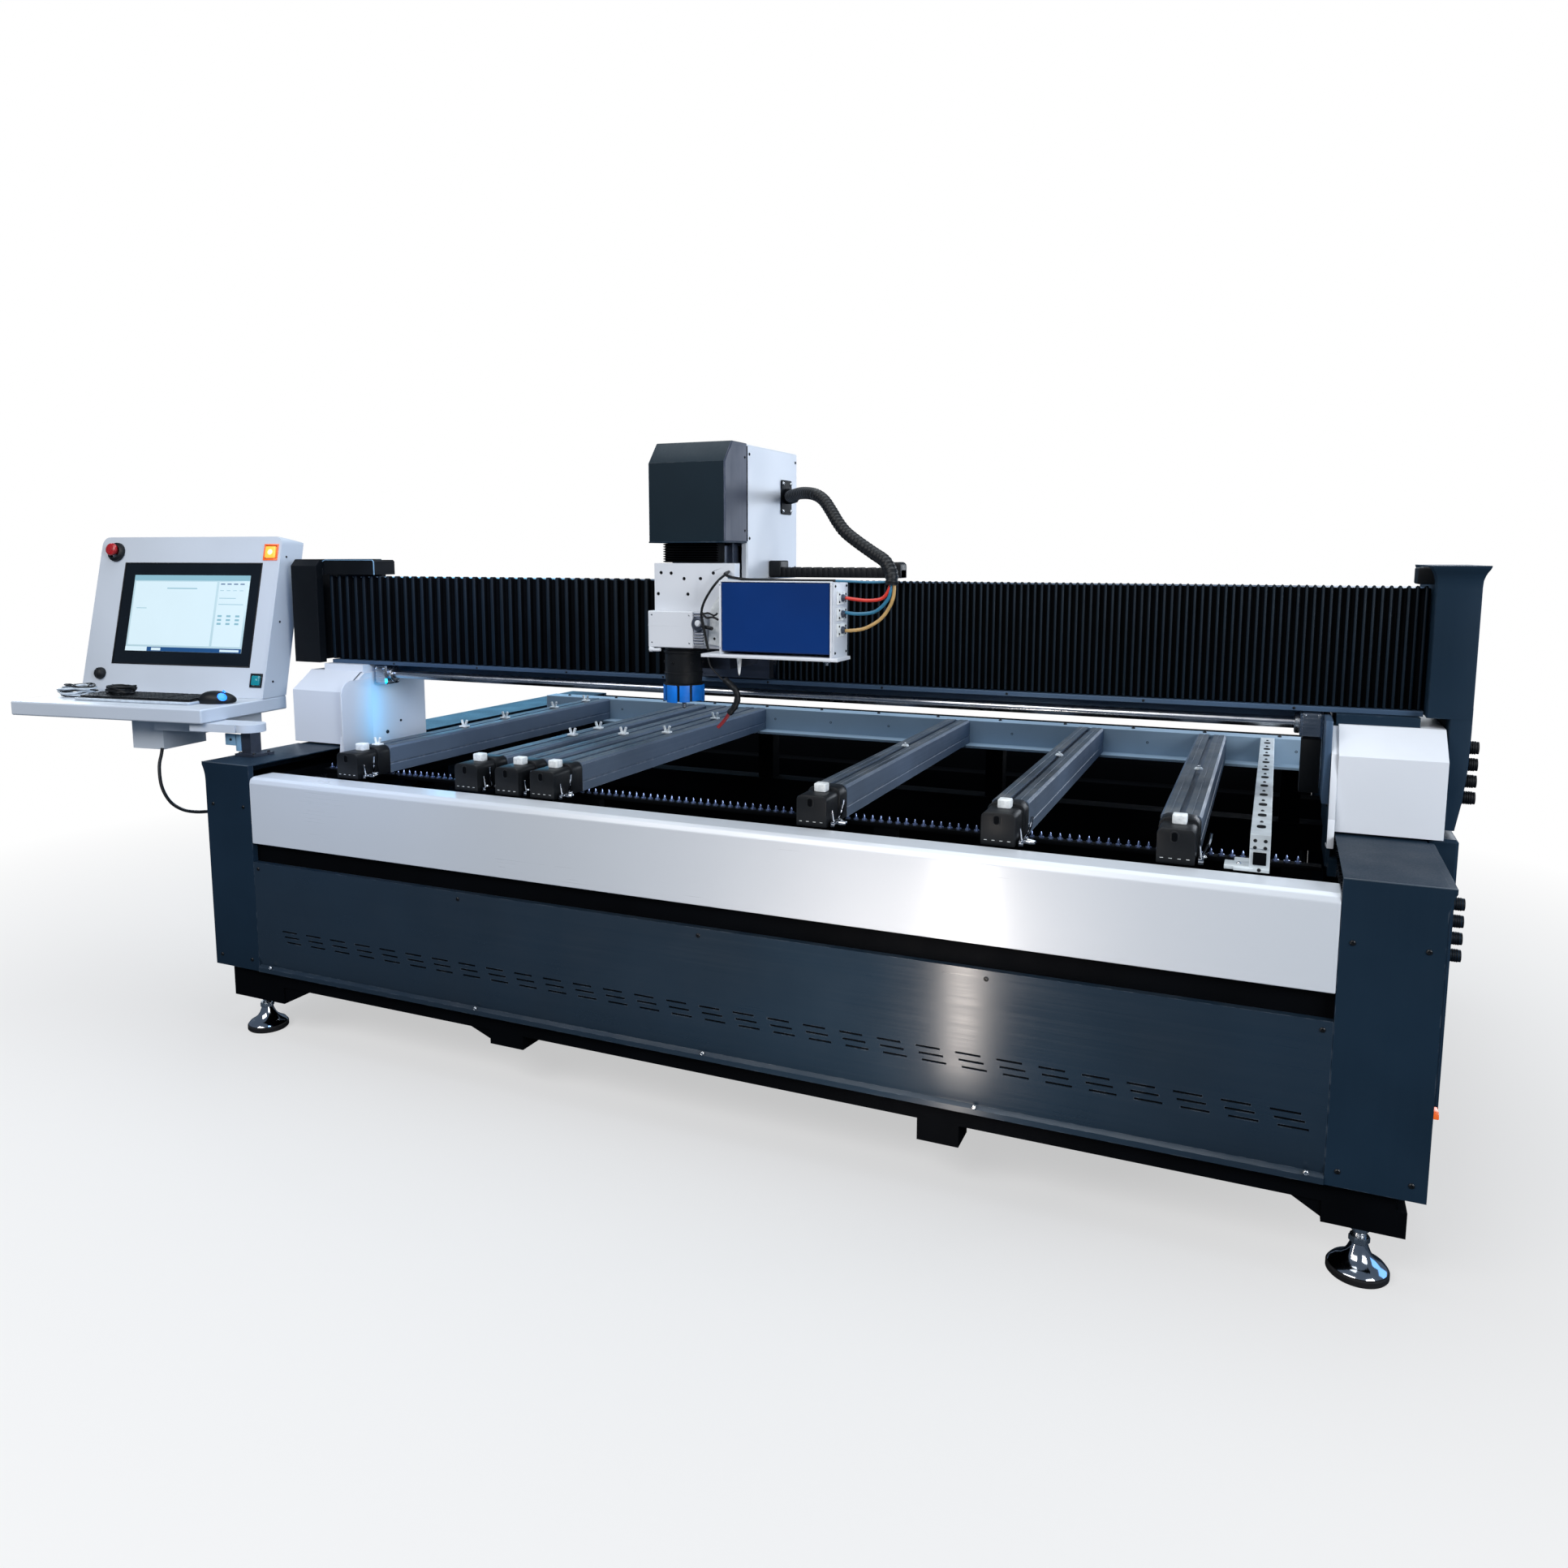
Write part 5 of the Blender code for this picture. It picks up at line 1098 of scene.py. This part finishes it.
stop = Piece("emergency_stop_head", "emergency_stop", RED, axes=FACE)
stop.turn(((0, -0.004), (0.012, -0.004), (0.012, 0.014), (0.0205, 0.016), (0.0222, 0.019), (0.0222, 0.024),
    (0.02, 0.0275), (0.012, 0.03), (0, 0.0308)), (ESTOP[0], 0, ESTOP[1]), SOUTH, 36, 0)
for i in range(3):
    angle = math.pi * 2 * i / 3
    stop.box((-0.002, -0.009, 0), (0.002, 0.009, 0.0016), 0.0006, 0,
        aim((ESTOP[0] + 0.012 * math.cos(angle), -0.029, ESTOP[1] + 0.012 * math.sin(angle)), SOUTH)
        @ Matrix.Rotation(angle, 4, "Z"))
stop.done(("emergency_stop",))

for label, body, (x, z), half, mats, finish in (("lamp_lens", "lamp_button", LAMP, 0.02, (GLOW, GLOW_CORE),
        "orange_plastic"), ("start_lens", "start_button", START, 0.0162, (TEAL, TEAL), "teal_plastic")):
    lens = Piece(label, body, *mats, axes=FACE)
    lens.prism(rounded((x - half, z - half), (x + half, z + half), 0.004), "Y", -0.0062, -0.0005, 0.0015, 0)
    lens.turn(((0, 0), (half * 0.5, 0), (half * 0.42, 0.0009), (half * 0.2, 0.0014), (0, 0.0016)),
        (x, -0.006, z), SOUTH, 24, 1)
    lens.done((body,))

keys = Piece("keyboard_keys", "console", BLACK_PLASTIC, GREY_CABLE, axes=DESK)
KX, KY, KZ = (-0.2, 0.27), (0.075, 0.215), 0.047
keys.prism(rounded((KX[0], KY[0]), (KX[1], KY[1]), 0.008), "Z", KZ, KZ + 0.008, 0.002, 1)
keys.prism(rounded((KX[0] + 0.006, KY[0] + 0.01), (KX[1] - 0.006, KY[1] - 0.006), 0.006), "Z", KZ + 0.0075,
    KZ + 0.0105, 0.001, 0)
for row in range(6):
    y = KY[0] + 0.016 + row * 0.019 + (0.003 if row == 5 else 0)
    x = KX[0] + 0.012
    column = 0
    while x < KX[1] - 0.024:
        width = 0.0165
        if row == 0 and column == 4:
            width = 0.09
        if 0.148 < x < 0.166 and row != 0:
            x += 0.006
        width = min(width, KX[1] - 0.012 - x)
        keys.box((x, y, KZ + 0.0095), (x + width, y + 0.016, KZ + 0.016 + 0.0006 * row), 0.0018, 0)
        x += width + 0.0024
        column += 1
keys.done(("keyboard",))

mouse = Piece("mouse", "console", BLACK_PLASTIC, MOUSE_LIGHT, axes=DESK)
bm = bmesh.new()
bmesh.ops.create_uvsphere(bm, u_segments=32, v_segments=18, radius=1)
for v in bm.verts:
    v.co.z = max(v.co.z, -0.3)
    nose = 1 + 0.1 * v.co.x
    v.co = Vector((v.co.x * 0.06, v.co.y * 0.032 * nose, v.co.z * 0.03 * (1 - 0.18 * v.co.x)))
mouse.absorb(bm, 0, Matrix.Translation((0.315, 0.15, 0.0565)) @ Matrix.Rotation(0.35, 4, "Z"))
mouse.turn(capped((0.0062, 0), (0.0078, 0.003), (0.0062, 0.006)), (0.335, 0.154, 0.081), (0.2, 1, 0), 20, 1)
mouse.turn(((0, 0), (0.015, 0), (0.013, 0.0012), (0, 0.0016)), (0.352, 0.13, 0.07), (0.75, -0.35, 0.6), 20,
    1)
mouse.tube([(0.262, 0.14, 0.056), (0.225, 0.232, 0.05), (0.12, 0.252, 0.05), (0.02, 0.25, 0.05),
    (-0.06, 0.246, 0.052)], 0.002, 8, 0)
mouse.done()

tangle = Piece("cable_tangle", "console", GREY_CABLE, BLACK_PLASTIC, axes=DESK)
for strand in range(7):
    middle = Vector((-0.29 + 0.01 * random.uniform(-1, 1), 0.185 + 0.014 * random.uniform(-1, 1), 0))
    path = []
    turns = random.choice((1.4, 1.8, 2.3))
    phase = random.uniform(0, 6.28)
    for i in range(15):
        angle = phase + turns * 2 * math.pi * i / 14
        reach = 0.052 + 0.018 * math.sin(angle * 1.7 + strand)
        path.append((middle.x + reach * math.cos(angle), middle.y + reach * 0.62 * math.sin(angle),
            0.0505 + 0.0052 * strand + 0.004 * math.sin(angle * 2 + strand)))
    tangle.tube(path, 0.0028, 8, 0 if strand % 3 else 1, step=0.009)
for strand in range(6):
    path = []
    phase = random.uniform(0, 6.28)
    for i in range(13):
        angle = phase + 1.9 * 2 * math.pi * i / 12
        reach = 0.032 + 0.008 * math.sin(angle * 2.3 + strand)
        path.append((-0.075 + reach * 1.35 * math.cos(angle), 0.15 + reach * 0.9 * math.sin(angle),
            0.069 + 0.004 * strand + 0.003 * math.sin(angle * 3)))
    tangle.tube(path, 0.0034, 8, 1, step=0.009)
tangle.done()

desk_trim = Piece("console_hardware", "console", SCREW, axes=DESK)
for x in (-0.33, -0.11, 0.11, 0.33):
    desk_trim.dome((x, 0.394, 0.023), NORTH, 0.0048, 0.003)
for x in (-0.384, 0.384):
    for y, z in ((0.33, 0.1), (0.38, 0.3), (0.43, 0.52)):
        desk_trim.dome((x, y, z), (1 if x > 0 else -1, 0, 0), 0.0042, 0.0022)
desk_trim.done()
REAR_LOW, REAR_HIGH = (0.393, 0.05), (0.523, 0.568)
rear_slope = math.atan2(REAR_HIGH[0] - REAR_LOW[0], REAR_HIGH[1] - REAR_LOW[1])
back = DESK @ Matrix.Translation((0, 0.458, 0.309)) @ Matrix.Rotation(-rear_slope, 4, "X")
rear = Piece("console_rear_vents", "console", BLACK, SCREW, CONSOLE_GREY, axes=back)
rear.prism(rounded((-0.3, -0.2), (0.3, 0.2), 0.012), "Y", -0.0004, 0.0022, 0.001, 2)
for i in range(12):
    rear.prism(rounded((-0.08, 0.06 + i * 0.01), (0.08, 0.0645 + i * 0.01), 0.002), "Y", 0.0018, 0.0032,
        0.0004)
for x in (-0.28, 0.28):
    for z in (-0.18, 0.18):
        rear.dome((x, 0.0022, z), NORTH, 0.0048, 0.0025, 1)
rear.done()

hook = Piece("post_bracket", "base", PALE_BLUE_AND_HIGHLIGHT, SCREW)
hook.box((-0.055, 0.127, 0.879), (-0.005, 0.133, 0.916), 0.0015)
hook.box((-0.01, 0.127, 0.862), (0.011, 0.133, 0.916), 0.0015)
hook.dome((-0.03, 0.127, 0.898), SOUTH, 0.0045, 0.003, 1)
for x in (0.014, 0.074):
    for y in (0.122, 0.178):
        hook.bolt((x, y, 0.858), UP, 0.005, 0.004, 1)
hook.done()

loop = Piece("console_cable", "console", BLACK_PLASTIC)
loop.tube([(-0.348, 0.13, 0.848), (-0.348, 0.125, 0.828), (-0.34, 0.108, 0.79), (-0.312, 0.09, 0.732),
    (-0.255, 0.072, 0.69), (-0.18, 0.056, 0.673), (-0.1, 0.044, 0.675), (-0.028, 0.04, 0.685),
    (0.002, 0.04, 0.69)], 0.0052, 12, step=0.01)
loop.done(blend=("console", "base", (-0.345, 0.1, 0.7), (-0.02, 0.06, 0.7)))
entry = Piece("console_cable_entry", "base", BLACK_PLASTIC)
entry.turn(((0, 0), (0.012, 0, 6), (0.012, 0.005, 6), (0.009, 0.006), (0.0085, 0.0095), (0, 0.01)),
    (0.0004, 0.04, 0.69), WEST, 18)
entry.done()

# ---- power switch, cabinet and rear
# the knob's orange material glows: painted glow
switch = Piece("power_switch_knob", "power_switch", ORANGE_RIM_PAINTED_GLOW)
centre = (3.302, 0.25, 0.29)
switch.turn(capped((0.0218, 0.004), (0.0218, 0.018), (0.02, 0.0205)), centre, EAST, 36)
switch.prism([(-0.02, 0.007 - 0.014), (0.02, 0.007 - 0.014), (0.016, 0.007), (-0.016, 0.007)], "X", 0.02,
    0.0395, 0.002, 0, Matrix.Translation((centre[0], centre[1], centre[2] + 0.0035)))
switch.done(("power_switch",))
plate = Piece("switch_plate", "base", BLACK_PLASTIC, ZINC)
plate.prism(rounded((0.215, 0.255), (0.285, 0.325), 0.006), "X", BASE_LENGTH - 0.0002, BASE_LENGTH + 0.005,
    0.0015)
for y in (0.222, 0.278):
    for z in (0.262, 0.318):
        plate.dome((BASE_LENGTH + 0.005, y, z), EAST, 0.0032, 0.002, 1)
plate.done()



def on_side(axis, depth, a, z):
    return (depth, a, z) if axis == "X" else (a, depth, z)


def louvres(piece, axis, depth, count, a, width, z, pitch, height, radius, m):
    """A column of raised slats between two depths."""
    for k in range(count):
        low, high = (a, z + k * pitch), (a + width, z + height + k * pitch)
        piece.prism(rounded(low, high, radius), axis, *depth, 0.0005, m)


def access_panel(piece, axis, face, out, a, width, top, screw_at, screw_z, vent_at):
    """A screwed-on sheet with louvres; out is 1 or -1, the side it faces along the axis."""
    near, far = sorted((face - out * 0.0004, face + out * 0.0024))
    piece.prism(rounded((a, 0.25), (a + width, top), 0.01), axis, near, far, 0.001)
    for offset in screw_at:
        for z in screw_z:
            piece.dome(on_side(axis, face + out * 0.0024, a + offset, z), on_side(axis, out, 0, 0), 0.0052,
                0.003, 1)
    depth = sorted((face + out * 0.002, face + out * 0.0034))
    louvres(piece, axis, depth, 8, a + vent_at, 0.25, 0.32, 0.016, 0.007, 0.0032, 2)


DOOR_FACE = 3.3675
cabinet = Piece("cabinet_door", "base", SLATE_UP, BLACK_PLASTIC, ZINC, BLACK)
for a, b in ((0.54, 1.2), (1.215, 1.925)):
    cabinet.prism(rounded((a, 0.235), (b, 0.83), 0.01), "X", 3.3648, DOOR_FACE, 0.001)
for y in (1.15, 1.265):
    cabinet.prism(rounded((y - 0.012, 0.5), (y + 0.012, 0.6), 0.006), "X", 3.3672, 3.3735, 0.002, 1)
for y in (0.56, 1.905):
    for z in (0.3, 0.76):
        cabinet.rod((3.37, y, z - 0.028), (3.37, y, z + 0.028), 0.0048, 0.001, 14, 2)
louvres(cabinet, "X", (3.3672, 3.3688), 10, 0.76, 0.24, 0.28, 0.014, 0.006, 0.0028, 3)
cabinet.done()

rear_side = Piece("rear_panel_details", "base", SLATE, SCREW, BLACK)
for i in range(3):
    access_panel(rear_side, "Y", BASE_DEPTH, 1, 0.215 + i * 0.96, 0.93, 0.81, (0.025, 0.905),
        (0.275, 0.53, 0.785), 0.34)
rear_side.done()

left_side = Piece("left_side_details", "base", SLATE_UP, SCREW, BLACK)
LEFT_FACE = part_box("side_casing_left")[0].x - X0
for i in range(2):
    access_panel(left_side, "X", LEFT_FACE, -1, 0.46 + i * 0.72, 0.69, 0.79, (0.025, 0.345, 0.665),
        (0.275, 0.765), 0.22)
left_side.done()

BEAM_BACK = 0.76
beam_back = Piece("beam_rear_details", "gantry", SCREW, SLATE)
for i in range(9):
    for z in (1.14, 1.372):
        beam_back.bolt((0.2 + i * 0.365, BEAM_BACK, z), NORTH, 0.0062, 0.004)
for i in range(4):
    a = 0.33 + i * 0.74
    beam_back.prism(rounded((a, 1.19), (a + 0.42, 1.33), 0.02), "Y", BEAM_BACK - 0.0002, BEAM_BACK + 0.0022,
        0.0008, 1)
    for x in (a + 0.02, a + 0.4):
        for z in (1.21, 1.31):
            beam_back.dome((x, BEAM_BACK + 0.0022, z), NORTH, 0.0042, 0.0025)
beam_back.done()

# ---- floor, light, camera
floor_mesh = bpy.data.meshes.new("floor")
bm = bmesh.new()
bmesh.ops.create_grid(bm, x_segments=2, y_segments=2, size=40)
bm.to_mesh(floor_mesh)
bm.free()
floor = bpy.data.objects.new("floor", floor_mesh)
bpy.context.scene.collection.objects.link(floor)
floor.location = (0, 0, -0.0002)
pale = material("pale_floor", (0.78, 0.79, 0.8), 0.7, spec=0.1, vary=0.01, scale=0.6, peel=0)
tree = pale.node_tree


def camera_switch(tree, output, others, camera):
    """Show one shader to the camera and another to every other ray."""
    ray = node(tree, "LightPath").outputs["Is Camera Ray"]
    choice = node(tree, "MixShader", {0: ray, 1: others.outputs[0], 2: camera.outputs[0]})
    feed(tree, tree.nodes[output], {"Surface": choice.outputs[0]})


# seen by the camera the floor fades to white; by reflections it is a dim hall floor
white = node(tree, "Emission", {"Color": (1, 1, 1), "Strength": 1})
hall = node(tree, "BsdfDiffuse", {"Color": (0.12, 0.16, 0.21)})
place = node(tree, "NewGeometry").outputs["Position"]
distance = node(tree, "VectorMath", {0: place}, operation="LENGTH").outputs["Value"]
fade = node(tree, "MapRange", {"Value": distance, "From Min": 1.6, "From Max": 4.2, "To Min": 0.55,
    "To Max": 1})
painted = tree.nodes["Principled BSDF"]
seen = node(tree, "MixShader", {0: fade.outputs["Result"], 1: painted.outputs[0], 2: white.outputs[0]})
camera_switch(tree, "Material Output", hall, seen)
floor_mesh.materials.append(pale)
floor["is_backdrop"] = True

world = bpy.data.worlds.new("studio")
bpy.context.scene.world = world
world.use_nodes = True
tree = world.node_tree
hall = feed(tree, tree.nodes["Background"], {"Color": (0.52, 0.68, 0.92), "Strength": 0.22})
white = node(tree, "Background", {"Color": (1, 1, 1), "Strength": 1})
camera_switch(tree, "World Output", hall, white)

off_floor = bpy.data.collections.new("off_floor")
off_floor.objects.link(floor)
off_floor.collection_objects[0].light_linking.link_state = "EXCLUDE"


def lamp(name, at, target, size, power, colour=(1, 1, 1), on_floor=True):
    data = bpy.data.lights.new(name, "AREA")
    data.shape = "RECTANGLE"
    data.size, data.size_y = size
    data.energy = power
    data.color = colour
    obj = bpy.data.objects.new(name, data)
    bpy.context.scene.collection.objects.link(obj)
    obj.location = at
    obj.rotation_euler = (Vector(target) - Vector(at)).to_track_quat("-Z", "Y").to_euler()
    obj.visible_camera = False
    if not on_floor:
        obj.light_linking.receiver_collection = off_floor
    return obj


lamp("key", (-1.2, -5.2, 4.4), (0.2, 0, 0.8), (4.5, 2.5), 200, (1, 0.98, 0.96))
lamp("top", (0.2, 0.4, 5), (0, 0, 0.8), (5, 4), 150, (0.9, 0.96, 1))
lamp("fill_right", (4.8, -3.2, 2.6), (0.8, 0, 1), (2, 2), 150, (0.92, 0.96, 1), False)
lamp("rear_right", (2.9, 3.9, 1.9), (0.3, -0.2, 1.2), (2.2, 2), 60, (0.86, 0.92, 1), False)
lamp("blue_side", (5.5, 1.2, 1.8), (0, 0, 1), (2.5, 2.2), 40, (0.2, 0.5, 1), False)
lamp("blue_rear", (-3.6, 3.2, 2.2), (-1.8, 0, 1.3), (1.5, 1.5), 30, (0.2, 0.62, 1), False)
lamp("fill_left", (-5.6, 1.6, 2.6), (0, 0.4, 0.6), (2.6, 2.2), 110, (0.8, 0.9, 1), False)
lamp("blue_console", (0.75 + X0, -0.3 + Y0, 1.55), (0.02 + X0, 0.1 + Y0, 1.25), (0.4, 0.4), 4,
    (0.25, 0.5, 1), False)
lamp("blue_leg", (0.268 + X0, 0.505 + Y0, 0.955), (0.198 + X0, 0.53 + Y0, 0.95), (0.015, 0.22), 0.09,
    (0, 0.5, 1), False)
lamp("warm_strip", (2.234 + X0, -0.55 + Y0, 0.37), (2.234 + X0, Y0, 0.37), (0.06, 0.8), 3.9, (1, 0.88, 0.78),
    False)

camera = bpy.data.cameras.new("camera")
camera.sensor_width = 36
camera.lens = 26.168
camera.shift_x = 0.00895
camera.shift_y = -0.05264
eye = bpy.data.objects.new("camera", camera)
bpy.context.scene.collection.objects.link(eye)
eye.location = MACHINE @ Vector((2.972, -2.433, 1.476))
eye.rotation_euler = (math.pi / 2 - math.radians(7.32), 0, math.radians(23.95))
bpy.context.scene.camera = eye
bpy.context.scene.view_settings.view_transform = "Standard"

low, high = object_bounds()
